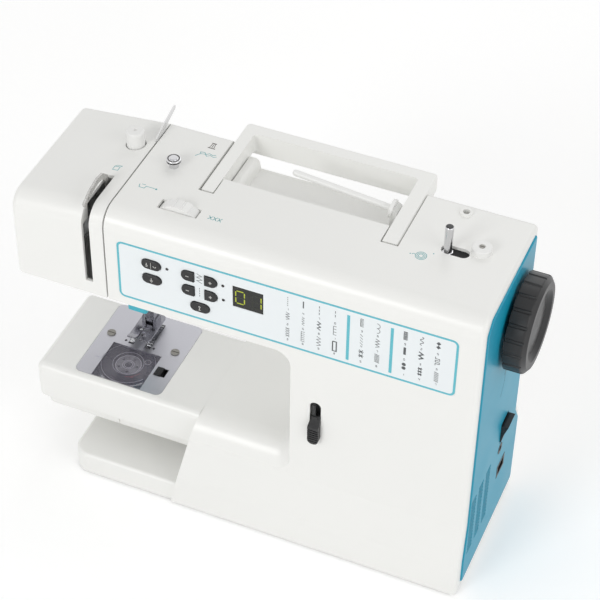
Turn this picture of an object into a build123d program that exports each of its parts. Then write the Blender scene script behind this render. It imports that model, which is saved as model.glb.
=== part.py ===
import os
from math import cos, radians, sin

from build123d import *

os.makedirs("parts", exist_ok=True)

# Sewing machine, millimetres. X runs along the arm to the handwheel, Y from the
# operator to the back, Z up from the table.

# Outer casing
WALL = 2.5
X_LEFT = -188.0
X_SIDE = 168.0
X_SEAM = -114.0
CHANNEL = 1.2
X_PILLAR = 29.5
Y_FRONT = -62.0
Y_REAR = 52.0
Y_BAND = -67.5
Y_BASE_REAR = 62.0
Y_PART = 49.4
Z_SKIRT = 1.5
Z_BAND_LOW = 32.0
Z_BAND_TOP = 70.0
Z_BED = 91.0
Z_ARM = 196.0
Z_TOP = 276.0
TOP_ROUND = 15.0
BED_ROUND = 22.0
HEAD_DROP = 7.5

# Free arm, docking face and low base
X_DOCK_TOP = -49.0
X_DOCK_LOW = -64.0
Z_LOW_BASE = 20.5
X_BASE_LEFT = -155.4
Y_BASE_FRONT = -65.5
ARM_FRONT = -52.0
ARM_REAR = 38.0
ARM_EDGE = 57.2
ARM_UNDER = 37.0
KEEL_FRONT = -40.0
KEEL_REAR = 29.0
SEAM = 0.03

# Top recess and carrying handle
HANDLE_L0 = -63.0
HANDLE_L1 = -53.0
HANDLE_R0 = 74.5
HANDLE_R1 = 85.7
HANDLE_TIP = -9.4
HANDLE_BACK = 74.0
PIVOT_Y = -3.0
PIVOT_Z = 272.2
RECESS_Y = 7.0
RECESS_Z = 255.0
SLOT_Z = 259.0
STEP_X = -44.5
STEP_Z = 263.5

# Mechanism
SHAFT_Y = 8.0
SHAFT_Z = 223.0
SHAFT_R = 5.0
NEEDLE_X = -123.5
NEEDLE_Y = 9.0
BAR_R = 3.25
PRESSER_Y = 20.5
FOOT_UP = 6.0
HOOK_X = -125.8
HOOK_Y = -17.2
LOWER_Y = 5.2
LOWER_Z = 56.5
LOWER_R = 4.0
MOTOR_Y = -28.0
MOTOR_Z = 48.0
FIT = 0.05

# Needle plate and bobbin cover
PLATE_X0 = -158.0
PLATE_X1 = -85.0
PLATE_Y0 = -45.5
PLATE_Y1 = 35.0
PLATE_T = 1.5
COVER_X0 = -143.4
COVER_X1 = -102.0
COVER_Y1 = -6.5

# Control panel
PANEL_X0 = -104.0
PANEL_X1 = 151.0
PANEL_Z0 = 203.0
PANEL_Z1 = 255.5
PANEL_T = 0.6
PANEL_R = 4.5

OVAL_W = 15.0
OVAL_H = 8.2
HALF_W = 9.8
HALF_H = 8.8
LED_R = 1.1

MODE_KEY = (-77.0, 242.2)
NEEDLE_KEY = (-77.0, 228.6)
SELECT_KEY = (-39.9, 215.4)
WIDTH_MINUS = (-48.9, 242.4)
WIDTH_PLUS = (-31.2, 242.4)
LENGTH_MINUS = (-48.9, 229.0)
LENGTH_PLUS = (-31.2, 229.0)
LEDS = [(-64.9, 242.2), (-22.0, 242.2), (-21.8, 228.9)]
DISPLAY = (-14.7, 8.6, 226.0, 245.3)

DIAL = (-67.0, -35.0, 262.0)
DIAL_R = 18.5
DIAL_W = 9.0
WINDER = (119.0, 0.0)
WINDER_TRAVEL = 11.0
STOPPER = (141.0, 7.0)
AUX_HOLE = (118.0, 41.0)
KNOB = (-127.5, 19.0)
GUIDE_STUD = (-90.7, 5.6)
LEVER = (44.9, 53.5)
WHEEL_R = 36.0


def block(x0, x1, y0, y1, z0, z1, mode=Mode.ADD):
    with Locations(((x0 + x1) / 2, (y0 + y1) / 2, (z0 + z1) / 2)):
        Box(x1 - x0, y1 - y0, z1 - z0, mode=mode)


def rod_x(x0, x1, y, z, r, mode=Mode.ADD):
    with Locations(Location((x0, y, z), (0, 90, 0))):
        Cylinder(r, x1 - x0, align=(Align.CENTER, Align.CENTER, Align.MIN), mode=mode)


def rod_y(y0, y1, x, z, r, mode=Mode.ADD):
    with Locations(Location((x, y0, z), (-90, 0, 0))):
        Cylinder(r, y1 - y0, align=(Align.CENTER, Align.CENTER, Align.MIN), mode=mode)


def rod_z(z0, z1, x, y, r, mode=Mode.ADD):
    with Locations((x, y, z0)):
        Cylinder(r, z1 - z0, align=(Align.CENTER, Align.CENTER, Align.MIN), mode=mode)


# The shared frame starts at the middle of the footprint, from the band to the handle's bar.
FRAME_Y = -(Y_BAND + HANDLE_BACK) / 2


def save(part, name):
    placed = part.moved(Location((0, FRAME_Y, 0)))
    placed.label = name
    export_step(placed, "parts/" + name + ".step")


# Casing envelope right of the thread channel: side outline, throat and bed
dock_line = [
    (-140, Z_BED + 1),
    (X_DOCK_TOP, Z_BED + 1),
    (X_DOCK_LOW, Z_LOW_BASE),
    (X_DOCK_LOW - 4, Z_SKIRT),
    (X_DOCK_LOW - 4, -2),
    (-140, -2),
]
inner_dock_line = [
    (-140, Z_BED + 1),
    (X_DOCK_TOP + 2.7, Z_BED + 1),
    (X_DOCK_LOW + 2.7, Z_LOW_BASE),
    (X_DOCK_LOW - 1.3, Z_SKIRT),
    (X_DOCK_LOW - 1.3, -3),
    (-140, -3),
]
bed_steps = [0, 24, 48, 68]

with BuildPart() as envelope:
    with BuildSketch(Plane.YZ.offset(X_SEAM + CHANNEL / 2)) as side_outline:
        with BuildLine():
            Polyline(
                (Y_BAND, Z_SKIRT),
                (Y_BAND, Z_BAND_LOW),
                (Y_FRONT, Z_BAND_TOP),
                (Y_FRONT, Z_TOP),
                (Y_REAR, Z_TOP),
                (Y_REAR, 98),
                (Y_BASE_REAR, 80),
                (Y_BASE_REAR, Z_SKIRT),
                close=True,
            )
        make_face()
        top_front = side_outline.vertices().filter_by_position(Axis.Y, 270, 280).sort_by(Axis.X)
        fillet(top_front[0], TOP_ROUND)
        top_rear = side_outline.vertices().filter_by_position(Axis.Y, 275.5, 280).sort_by(Axis.X)
        fillet(top_rear[-1], 5)
    extrude(amount=X_SIDE - X_SEAM - CHANNEL / 2)
    with BuildSketch(Plane.XZ) as throat:
        with BuildLine():
            Polyline(
                (-140, Z_BED), (X_PILLAR, Z_BED), (X_PILLAR, Z_ARM), (-140, Z_ARM), close=True
            )
        make_face()
        fillet(throat.vertices().sort_by(Axis.X)[-2:], 13)
    extrude(amount=100, both=True, mode=Mode.SUBTRACT)
    with BuildSketch(Plane.XZ) as docking:
        with BuildLine():
            Polyline(*dock_line, close=True)
        make_face()
    extrude(amount=100, both=True, mode=Mode.SUBTRACT)
    stations = [(Y_FRONT + BED_ROUND + 2, Z_BED + 0.4)]
    for step in bed_steps[1:]:
        along = Y_FRONT + BED_ROUND - BED_ROUND * sin(radians(step))
        stations.append((along, Z_BED - BED_ROUND + BED_ROUND * cos(radians(step))))
    stations.append((Y_FRONT - 0.8, Z_BAND_TOP + 0.5))
    for along, level in stations:
        with BuildSketch(Plane.XZ.offset(-along)) as section:
            with BuildLine():
                Polyline((-80, level), (X_PILLAR, level), (X_PILLAR, 150), (-80, 150), close=True)
            make_face()
            fillet(section.vertices().sort_by(Axis.Y)[:2].sort_by(Axis.X)[-1], 13)
    loft(mode=Mode.SUBTRACT)
    end_face = envelope.faces().sort_by(Axis.X)[-1]
    fillet(end_face.edges(), 3.5)
    # spool recess between the handle arms, and the two arm slots
    with BuildSketch(Plane.XZ.offset(-RECESS_Y)) as recess:
        with BuildLine():
            Polyline(
                (HANDLE_L1, 300),
                (HANDLE_L1, STEP_Z),
                (STEP_X, STEP_Z),
                (STEP_X + 1.5, RECESS_Z),
                (HANDLE_R0, RECESS_Z),
                (HANDLE_R0, 300),
                close=True,
            )
        make_face()
        fillet(recess.vertices().sort_by_distance((STEP_X, STEP_Z))[0], 4)
    extrude(amount=-(90 - RECESS_Y), mode=Mode.SUBTRACT)
    block(HANDLE_L0 - 1, HANDLE_L1 + 1, HANDLE_TIP - 1.6, 90, SLOT_Z, 300, Mode.SUBTRACT)
    block(HANDLE_R0 - 1, HANDLE_R1 + 1, HANDLE_TIP - 1.6, 90, SLOT_Z, 300, Mode.SUBTRACT)

with BuildPart() as hollow:
    with BuildSketch(Plane.YZ.offset(X_SEAM - 10)):
        with BuildLine():
            Polyline(
                (Y_BAND + WALL, -1),
                (Y_BAND + WALL, Z_BAND_LOW),
                (Y_FRONT + WALL, Z_BAND_TOP),
                (Y_FRONT + WALL, Z_TOP - TOP_ROUND - 1),
                (Y_FRONT + TOP_ROUND - 8, Z_TOP - WALL - 5.5),
                (Y_FRONT + TOP_ROUND + 1, Z_TOP - WALL),
                (Y_REAR - WALL, Z_TOP - WALL),
                (Y_REAR - WALL, 97),
                (Y_BASE_REAR - WALL, 79),
                (Y_BASE_REAR - WALL, -1),
                close=True,
            )
        make_face()
    extrude(amount=X_SIDE - WALL - X_SEAM + 10)
    with BuildSketch(Plane.XZ) as inner_throat:
        with BuildLine():
            Polyline(
                (-140, Z_BED - WALL),
                (X_PILLAR + WALL, Z_BED - WALL),
                (X_PILLAR + WALL, Z_ARM + WALL),
                (-140, Z_ARM + WALL),
                close=True,
            )
        make_face()
        fillet(inner_throat.vertices().sort_by(Axis.X)[-2:], 12)
    extrude(amount=100, both=True, mode=Mode.SUBTRACT)
    with BuildSketch(Plane.XZ):
        with BuildLine():
            Polyline(*inner_dock_line, close=True)
        make_face()
    extrude(amount=100, both=True, mode=Mode.SUBTRACT)
    with BuildSketch(Plane.YZ.offset(-90)):
        with BuildLine():
            Polyline(
                (-75, 62),
                (-59.5, 62),
                (-52, 78),
                (-38, 86.5),
                (-34, 88.5),
                (-34, 110),
                (-75, 110),
                close=True,
            )
        make_face()
    extrude(amount=90 + X_PILLAR + WALL + 6, mode=Mode.SUBTRACT)
    block(HANDLE_L1 - 2, HANDLE_R0 + 2, RECESS_Y - WALL, 90, RECESS_Z - WALL, 300, Mode.SUBTRACT)
    block(HANDLE_L0 - 3.5, HANDLE_L1 + 3.5, HANDLE_TIP - 4.1, 90, SLOT_Z - WALL, 300, Mode.SUBTRACT)
    block(HANDLE_R0 - 3.5, HANDLE_R1 + 3.5, HANDLE_TIP - 4.1, 90, SLOT_Z - WALL, 300, Mode.SUBTRACT)

side_opening = [
    (-60.5, 9.2),
    (-60.5, 33),
    (-56.6, 70),
    (-56.6, 262),
    (-48, 270.6),
    (46.6, 270.6),
    (46.6, 96),
    (56.6, 79),
    (56.6, 9.2),
]

with BuildPart() as casing:
    add(envelope.part)
    add(hollow.part, mode=Mode.SUBTRACT)
    with BuildSketch(Plane.YZ.offset(X_SIDE - 5)) as end_window:
        with BuildLine():
            Polyline(*side_opening, close=True)
        make_face()
        fillet(end_window.vertices(), 3)
    extrude(amount=10, mode=Mode.SUBTRACT)
    # passage for the frame through the docking wall and a notch for the base pan
    block(-70, -44, -34, 29, 46.5, 76, Mode.SUBTRACT)
    block(-76, -55, -62.5, 58.5, 0, 7, Mode.SUBTRACT)


def oval(at, width, height, back=58):
    with BuildSketch(Plane.XZ.offset(back)) as shape:
        with Locations(at):
            SlotOverall(width, height)
    return shape.sketch


def half(at, side, width, height, back=58):
    with BuildSketch(Plane.XZ.offset(back)) as shape:
        with Locations((at[0] + side * height / 4, at[1])):
            SlotOverall(width + height / 2, height)
        with Locations((at[0] + side * (width / 2 + 10), at[1])):
            Rectangle(20, 20, mode=Mode.SUBTRACT)
    return shape.sketch


HOLE = 0.6
BOARD_Y = -56.8
BOARD_POSTS = ((-95, 210), (-95, 248), (17, 210), (17, 248))
ovals = [MODE_KEY, NEEDLE_KEY, SELECT_KEY]
minus_keys = [WIDTH_MINUS, LENGTH_MINUS]
plus_keys = [WIDTH_PLUS, LENGTH_PLUS]


def key_openings(depth):
    for at in ovals:
        extrude(oval(at, OVAL_W + HOLE, OVAL_H + HOLE), amount=depth, mode=Mode.SUBTRACT)
    for at in minus_keys:
        extrude(half(at, 1, HALF_W + HOLE, HALF_H + HOLE), amount=depth, mode=Mode.SUBTRACT)
    for at in plus_keys:
        extrude(half(at, -1, HALF_W + HOLE, HALF_H + HOLE), amount=depth, mode=Mode.SUBTRACT)
    for at in LEDS:
        rod_y(-70, -58, at[0], at[1], LED_R + 0.1, Mode.SUBTRACT)
    block(DISPLAY[0], DISPLAY[1], -70, -58, DISPLAY[2], DISPLAY[3], Mode.SUBTRACT)


with BuildPart() as front_cover:
    add(casing.part)
    split(bisect_by=Plane.XZ.offset(-Y_PART), keep=Keep.TOP)
    # seat of the panel overlay
    with BuildSketch(Plane.XZ.offset(-(Y_FRONT + PANEL_T))):
        with Locations(((PANEL_X0 + PANEL_X1) / 2, (PANEL_Z0 + PANEL_Z1) / 2)):
            RectangleRounded(PANEL_X1 - PANEL_X0, PANEL_Z1 - PANEL_Z0, PANEL_R)
    extrude(amount=5, mode=Mode.SUBTRACT)
    key_openings(8)
    # reverse lever slot
    with BuildSketch(Plane.XZ.offset(55)):
        with Locations(((LEVER[0] + LEVER[1]) / 2, 136)):
            SlotOverall(38, LEVER[1] - LEVER[0], rotation=90)
    extrude(amount=15, mode=Mode.SUBTRACT)
    # tension dial slot
    block(DIAL[0] - 15.2, DIAL[0] + 15.2, DIAL[1] - 5, DIAL[1] + 5, 270, 280, Mode.SUBTRACT)
    # winder slot, stud holes, spare spool pin socket, handle pins
    with BuildSketch(Plane.XY.offset(270)):
        with Locations((WINDER[0] + WINDER_TRAVEL / 2, WINDER[1])):
            SlotOverall(WINDER_TRAVEL + 9.5, 9.5)
    extrude(amount=10, mode=Mode.SUBTRACT)
    rod_z(270, 280, GUIDE_STUD[0], GUIDE_STUD[1], 2.02, Mode.SUBTRACT)
    rod_z(270, 280, STOPPER[0], STOPPER[1], 2.02, Mode.SUBTRACT)
    rod_z(262, Z_TOP + 1.5, AUX_HOLE[0], AUX_HOLE[1], 4.6)
    rod_z(264, 280, AUX_HOLE[0], AUX_HOLE[1], 2.6, Mode.SUBTRACT)
    for x0, x1 in ((HANDLE_L0, HANDLE_L1), (HANDLE_R0, HANDLE_R1)):
        rod_x(x0 - 4, x1 + 4, PIVOT_Y, PIVOT_Z, 2, Mode.SUBTRACT)
    for x, z in BOARD_POSTS:
        rod_y(-60, BOARD_Y, x, z, 2.5)
    # rails that carry the winder slide
    for side in (-1, 1):
        outer = sorted((WINDER[1] + side * 8.2, WINDER[1] + side * 10.2))
        lip = sorted((WINDER[1] + side * 6.4, WINDER[1] + side * 10.2))
        block(HANDLE_R1 + 6.3, 136, outer[0], outer[1], 266.5, Z_TOP - 1)
        block(HANDLE_R1 + 6.3, 136, lip[0], lip[1], 266.5, 268.4)
save(front_cover.part, "front_cover")

COVER_SCREWS = ((-95, 214, Y_REAR), (120, 214, Y_REAR), (89, 120, Y_REAR), (89, 36, Y_BASE_REAR))
with BuildPart() as rear_cover:
    add(casing.part)
    split(bisect_by=Plane.XZ.offset(-Y_PART - 0.1), keep=Keep.BOTTOM)
    for x, z, y in COVER_SCREWS:
        rod_y(44, 70, x, z, 2.02, Mode.SUBTRACT)
save(rear_cover.part, "rear_cover")

# Head cover left of the thread channel
HEAD_END = X_SEAM - CHANNEL / 2


def head_top(x):
    return Z_TOP - HEAD_DROP * (HEAD_END - x) / (HEAD_END - X_LEFT)


with BuildPart() as head_cover:
    with BuildSketch(Plane.XZ.offset(-Y_REAR)):
        with BuildLine():
            Polyline(
                (X_LEFT, Z_ARM),
                (HEAD_END, Z_ARM),
                (HEAD_END, Z_TOP),
                (X_LEFT, head_top(X_LEFT)),
                close=True,
            )
        make_face()
    extrude(amount=Y_REAR - Y_FRONT)
    front_top = head_cover.edges().filter_by_position(Axis.Z, 260, 280).sort_by(Axis.Y)[0]
    fillet(front_top, TOP_ROUND)
    rear_top = head_cover.edges().filter_by_position(Axis.Z, 265, 280).sort_by(Axis.Y)[-1]
    fillet(rear_top, 5)
    left_face = head_cover.faces().sort_by(Axis.X)[0]
    fillet(left_face.edges(), 4.5)
    with BuildSketch(Plane.XZ.offset(-Y_REAR + WALL)):
        with BuildLine():
            Polyline(
                (X_LEFT + WALL, Z_ARM + WALL),
                (HEAD_END + 5, Z_ARM + WALL),
                (HEAD_END + 5, Z_TOP - WALL),
                (X_LEFT + WALL, head_top(X_LEFT) - WALL),
                close=True,
            )
        make_face()
    head_hollow = extrude(amount=Y_REAR - Y_FRONT - 2 * WALL - 8, mode=Mode.SUBTRACT)
    block(X_LEFT + WALL + 3, HEAD_END + 5, Y_FRONT + WALL, Y_FRONT + 14, Z_ARM + WALL, 259, Mode.SUBTRACT)
    # take-up slot over the top and down the front
    block(-131, -125, -70, -20, 240, 290, Mode.SUBTRACT)
    block(-131, -125, -70, -50, 208, 260, Mode.SUBTRACT)
    # presser knob hole, bar opening, lifter slot, lamp seat
    rod_z(260, 290, KNOB[0], KNOB[1], 7.6, Mode.SUBTRACT)
    block(-152, -116.5, -12, 27, 190, 200, Mode.SUBTRACT)
    block(-158, -118, 36, 46, 190, 200, Mode.SUBTRACT)
    block(-176, -160, -12, 12, 190, 200, Mode.SUBTRACT)
save(head_cover.part, "head_cover")

# Teal end cover with openings for the shaft, switch, sockets and cooling slots
SWITCH = (15.0, 106.0)
SWITCH_HALF = 8.5
INLET = (17.0, 62.0)
JACK = (10.0, 88.0)
inset = 0.25
with BuildPart() as side_cover:
    with BuildSketch(Plane.YZ.offset(X_SIDE - WALL - 3)) as cap_outline:
        with BuildLine():
            Polyline(*side_opening, close=True)
        make_face()
        fillet(cap_outline.vertices(), 3)
        offset(amount=-inset, mode=Mode.REPLACE)
    extrude(amount=WALL + 4.2)
    fillet(side_cover.faces().sort_by(Axis.X)[-1].edges(), 1.6)
    with BuildSketch(Plane.YZ.offset(X_SIDE - WALL - 3)) as cap_inside:
        with BuildLine():
            Polyline(*side_opening, close=True)
        make_face()
        offset(amount=-4, mode=Mode.REPLACE)
    extrude(amount=3.4, mode=Mode.SUBTRACT)
    rod_x(150, 180, SHAFT_Y, SHAFT_Z, 16, Mode.SUBTRACT)
    side, level = SWITCH
    block(150, 180, side - SWITCH_HALF, side + SWITCH_HALF, level - 10.5, level + 10.5, Mode.SUBTRACT)
    block(150, 180, INLET[0] - 9, INLET[0] + 9, INLET[1] - 6.5, INLET[1] + 6.5, Mode.SUBTRACT)
    rod_x(150, 180, JACK[0], JACK[1], 5, Mode.SUBTRACT)
    rod_y(side - SWITCH_HALF - 1.4, side + SWITCH_HALF + 1.4, 167.5, level, 1.25, Mode.SUBTRACT)
    with BuildSketch(Plane.YZ.offset(150)):
        with Locations((-33, 64.5)):
            with GridLocations(16, 3.6, 3, 16):
                SlotOverall(11, 1.8)
    extrude(amount=30, mode=Mode.SUBTRACT)
save(side_cover.part, "side_cover")

# Base pan: floor under the pillar and the low shelf under the free arm
with BuildPart() as base_pan:
    with BuildSketch(Plane.XZ.offset(-Y_BASE_FRONT)):
        with BuildLine():
            Polyline(
                (X_BASE_LEFT, Z_SKIRT),
                (X_DOCK_LOW - 4.3, Z_SKIRT),
                (X_DOCK_LOW - 0.4, Z_LOW_BASE),
                (X_BASE_LEFT, Z_LOW_BASE),
                close=True,
            )
        make_face()
    extrude(amount=Y_BASE_FRONT - 58)
    left_edges = base_pan.edges().filter_by(Axis.Z).sort_by(Axis.X)[:2]
    fillet(left_edges, 14)
    fillet(base_pan.faces().sort_by(Axis.Z)[-1].edges().filter_by(Axis.X), 3)
    with BuildSketch(Plane.XY):
        with Locations(((X_DOCK_LOW - 8 + X_BASE_LEFT + 3) / 2, (Y_BASE_FRONT + 58) / 2)):
            RectangleRounded(X_DOCK_LOW - 11 - X_BASE_LEFT, 52 - Y_BASE_FRONT, 11)
    extrude(amount=Z_LOW_BASE - 2.5, mode=Mode.SUBTRACT)
    for x in (-124, -96):
        block(x - 1, x + 1, Y_BASE_FRONT + 2, 56, 10, Z_LOW_BASE - 1)
    block(X_DOCK_LOW - 8.5, 162, -62, 57, Z_SKIRT, Z_SKIRT + 2.6)
    block(X_DOCK_LOW - 8.5, X_DOCK_LOW - 4.5, -62, 57, Z_SKIRT, 12)
    for x in (-48, 60, 150):
        for y in (-44, 40):
            rod_z(Z_SKIRT + 2, 9, x, y, 6)
save(base_pan.part, "base_pan")

with BuildPart() as rubber_feet:
    for x, y in ((-142, -50), (-142, 44), (-30, -50), (148, -50), (148, 46), (-30, 46)):
        rod_z(0, Z_SKIRT, x, y, 9 if x > -100 else 8)
    fillet(rubber_feet.faces().sort_by(Axis.Z)[:6].edges(), 1)
    for x, y in ((-142, -50), (-142, 44)):
        rod_z(Z_SKIRT, Z_LOW_BASE - 2.5, x, y, 4)
save(rubber_feet.part, "rubber_feet")

# Free arm tube
with BuildPart() as free_arm:
    with BuildSketch(Plane.YZ.offset(X_LEFT)) as arm_outline:
        with BuildLine():
            Polyline(
                (ARM_FRONT, Z_BED),
                (ARM_REAR, Z_BED),
                (ARM_REAR, ARM_EDGE),
                (KEEL_REAR, ARM_EDGE),
                (KEEL_REAR, ARM_UNDER),
                (KEEL_FRONT, ARM_UNDER),
                (KEEL_FRONT, ARM_EDGE),
                (ARM_FRONT, ARM_EDGE),
                close=True,
            )
        make_face()
        fillet(arm_outline.vertices().filter_by_position(Axis.Y, 90, 92), 6)
        deck_edges = arm_outline.vertices().filter_by_position(Axis.Y, ARM_EDGE - 1, ARM_EDGE + 1)
        fillet(deck_edges.sort_by(Axis.X)[0], 2)
        fillet(deck_edges.sort_by(Axis.X)[-1], 2)
        fillet(arm_outline.vertices().filter_by_position(Axis.Y, ARM_UNDER - 1, ARM_UNDER + 1), 3)
    extrude(amount=X_DOCK_TOP - X_LEFT + 4)
    fillet(free_arm.faces().sort_by(Axis.X)[0].edges(), 5)
    with BuildSketch(Plane.XZ):
        with BuildLine():
            Polyline(
                (X_DOCK_TOP - SEAM, Z_BED + 1),
                (X_DOCK_LOW - SEAM, Z_LOW_BASE),
                (0, Z_LOW_BASE),
                (0, Z_BED + 1),
                close=True,
            )
        make_face()
    extrude(amount=100, both=True, mode=Mode.SUBTRACT)
    with BuildSketch(Plane.YZ.offset(X_LEFT + WALL)) as arm_inside:
        with BuildLine():
            Polyline(
                (ARM_FRONT + WALL, Z_BED - WALL - 2.5),
                (ARM_FRONT + WALL + 2.5, Z_BED - WALL),
                (ARM_REAR - WALL - 2.5, Z_BED - WALL),
                (ARM_REAR - WALL, Z_BED - WALL - 2.5),
                (ARM_REAR - WALL, ARM_EDGE + WALL),
                (KEEL_REAR - WALL, ARM_EDGE + WALL),
                (KEEL_REAR - WALL, ARM_UNDER + WALL),
                (KEEL_FRONT + WALL, ARM_UNDER + WALL),
                (KEEL_FRONT + WALL, ARM_EDGE + WALL),
                (ARM_FRONT + WALL, ARM_EDGE + WALL),
                close=True,
            )
        make_face()
    extrude(amount=160, mode=Mode.SUBTRACT)
    # groove in the keel for the accessory tray, opening and seat for the needle plate
    block(-125, -121.4, KEEL_FRONT - 5, KEEL_FRONT + 1.2, ARM_UNDER - 5, ARM_EDGE, Mode.SUBTRACT)
    with BuildSketch(Plane.XY.offset(Z_BED - PLATE_T)):
        with Locations(((PLATE_X0 + PLATE_X1) / 2, (PLATE_Y0 + PLATE_Y1) / 2)):
            RectangleRounded(PLATE_X1 - PLATE_X0 + 0.4, PLATE_Y1 - PLATE_Y0 + 0.4, 5.2)
    extrude(amount=5, mode=Mode.SUBTRACT)
    block(PLATE_X0 + 4, PLATE_X1 - 4, PLATE_Y0 + 1.8, PLATE_Y1 - 3, 85, 95, Mode.SUBTRACT)
save(free_arm.part, "free_arm")

# Needle plate with feed slots, needle slot and the opening for the bobbin cover
FEED_ROWS = (NEEDLE_X - 7, NEEDLE_X + 7)
PLATE_SCREWS = ((-149.6, 1.8), (-94.4, 1.8))
LATCH = (-99.7, -90.4, -26.2, -17.8)
with BuildPart() as needle_plate:
    with BuildSketch(Plane.XY.offset(Z_BED - PLATE_T)):
        with Locations(((PLATE_X0 + PLATE_X1) / 2, (PLATE_Y0 + PLATE_Y1) / 2)):
            RectangleRounded(PLATE_X1 - PLATE_X0, PLATE_Y1 - PLATE_Y0, 5)
        with Locations(((COVER_X0 + COVER_X1) / 2, (PLATE_Y0 - 20 + COVER_Y1) / 2)):
            Rectangle(COVER_X1 - COVER_X0, COVER_Y1 - PLATE_Y0 + 20, mode=Mode.SUBTRACT)
        for row in FEED_ROWS:
            with Locations((row, 11.5)):
                Rectangle(4.6, 29, mode=Mode.SUBTRACT)
        with Locations((NEEDLE_X, NEEDLE_Y)):
            SlotOverall(8, 2.2, mode=Mode.SUBTRACT)
        with Locations((NEEDLE_X - 12, -1), (NEEDLE_X + 12, -1)):
            Circle(1, mode=Mode.SUBTRACT)
        with Locations(((LATCH[0] + LATCH[1]) / 2, (LATCH[2] + LATCH[3]) / 2)):
            Rectangle(LATCH[1] - LATCH[0] + 0.2, LATCH[3] - LATCH[2] + 0.6, mode=Mode.SUBTRACT)
        with Locations(*PLATE_SCREWS):
            Circle(2.1, mode=Mode.SUBTRACT)
    extrude(amount=PLATE_T)
    # spring tab that presses on the edge of the bobbin cover
    block(COVER_X0 - 6.5, COVER_X0 - 0.6, -26, -21, Z_BED, Z_BED + 0.5)
save(needle_plate.part, "needle_plate")

with BuildPart() as plate_screws:
    for x, y in PLATE_SCREWS:
        rod_z(Z_BED - 5, Z_BED, x, y, 2)
        rod_z(Z_BED, Z_BED + 0.8, x, y, 3.5)
        block(x - 4, x + 4, y - 0.4, y + 0.4, Z_BED + 0.3, Z_BED + 2, Mode.SUBTRACT)
save(plate_screws.part, "plate_screws")

with BuildPart() as bobbin_cover:
    with BuildSketch(Plane.XY.offset(Z_BED - 1.4)):
        with Locations(((COVER_X0 + COVER_X1) / 2, (PLATE_Y0 + COVER_Y1) / 2)):
            Rectangle(COVER_X1 - COVER_X0 - 0.4, COVER_Y1 - PLATE_Y0 - 0.4)
    extrude(amount=1.4)
    fillet(bobbin_cover.edges().filter_by(Axis.Z), 1.5)
    block(COVER_X0 + 12, COVER_X0 + 20, PLATE_Y0 + 1.5, PLATE_Y0 + 3.5, Z_BED - 1, Z_BED + 0.6)
save(bobbin_cover.part, "bobbin_cover")

with BuildPart() as cover_latch:
    block(LATCH[0] + 0.3, LATCH[1] - 3.4, LATCH[2], LATCH[3], Z_BED - 4.5, Z_BED + 0.9)
    for k in range(3):
        x = LATCH[0] + 1.6 + 1.6 * k
        block(x - 0.3, x + 0.3, LATCH[2] + 0.8, LATCH[3] - 0.8, Z_BED + 0.9, Z_BED + 1.2)
    block(LATCH[0] - 2.5, LATCH[1] - 3, LATCH[2] - 2, LATCH[3] + 2, Z_BED - 4.5, Z_BED - PLATE_T - 0.3)
save(cover_latch.part, "cover_latch")

# Control panel
with BuildPart() as panel_overlay:
    with BuildSketch(Plane.XZ.offset(-(Y_FRONT + PANEL_T))):
        with Locations(((PANEL_X0 + PANEL_X1) / 2, (PANEL_Z0 + PANEL_Z1) / 2)):
            RectangleRounded(PANEL_X1 - PANEL_X0 - 0.2, PANEL_Z1 - PANEL_Z0 - 0.2, PANEL_R - 0.1)
    extrude(amount=PANEL_T)
    key_openings(8)
save(panel_overlay.part, "panel_overlay")

KEY_BACK = 59.3
KEY_OUT = 4.1
LIP = 2.4
for name, at in (("mode_key", MODE_KEY), ("needle_key", NEEDLE_KEY), ("select_key", SELECT_KEY)):
    with BuildPart() as key:
        extrude(oval(at, OVAL_W, OVAL_H, KEY_BACK), amount=KEY_OUT)
        fillet(key.faces().sort_by(Axis.Y)[0].edges(), 0.6)
        extrude(oval(at, OVAL_W + LIP, OVAL_H + LIP, KEY_BACK - 1), amount=1)
    save(key.part, name)

for name, at, side in (
    ("width_minus_key", WIDTH_MINUS, 1),
    ("width_plus_key", WIDTH_PLUS, -1),
    ("length_minus_key", LENGTH_MINUS, 1),
    ("length_plus_key", LENGTH_PLUS, -1),
):
    with BuildPart() as key:
        extrude(half(at, side, HALF_W, HALF_H, KEY_BACK), amount=KEY_OUT)
        fillet(key.faces().sort_by(Axis.Y)[0].edges(), 0.6)
        extrude(half(at, side, HALF_W + LIP, HALF_H + LIP, KEY_BACK - 1), amount=1)
    save(key.part, name)

with BuildPart() as display_module:
    block(DISPLAY[0] + 0.15, DISPLAY[1] - 0.15, -61.7, BOARD_Y, DISPLAY[2] + 0.15, DISPLAY[3] - 0.15)
    block(DISPLAY[0] - 2, DISPLAY[1] + 2, -59.3, BOARD_Y, DISPLAY[2] - 2, DISPLAY[3] + 2)
save(display_module.part, "display_module")

with BuildPart() as indicator_leds:
    for at in LEDS:
        rod_y(-62.3, BOARD_Y, at[0], at[1], LED_R)
save(indicator_leds.part, "indicator_leds")

with BuildPart() as control_board:
    block(-98, 20, BOARD_Y, BOARD_Y + 1.6, 207, 251)
    block(-60, -40, BOARD_Y + 1.6, BOARD_Y + 4, 222, 236)
    block(-10, 8, BOARD_Y + 1.6, BOARD_Y + 8, 211, 217)
    for x in (-30, -24):
        rod_y(BOARD_Y + 1.6, BOARD_Y + 10, x, 214, 2.5)
save(control_board.part, "control_board")

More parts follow.
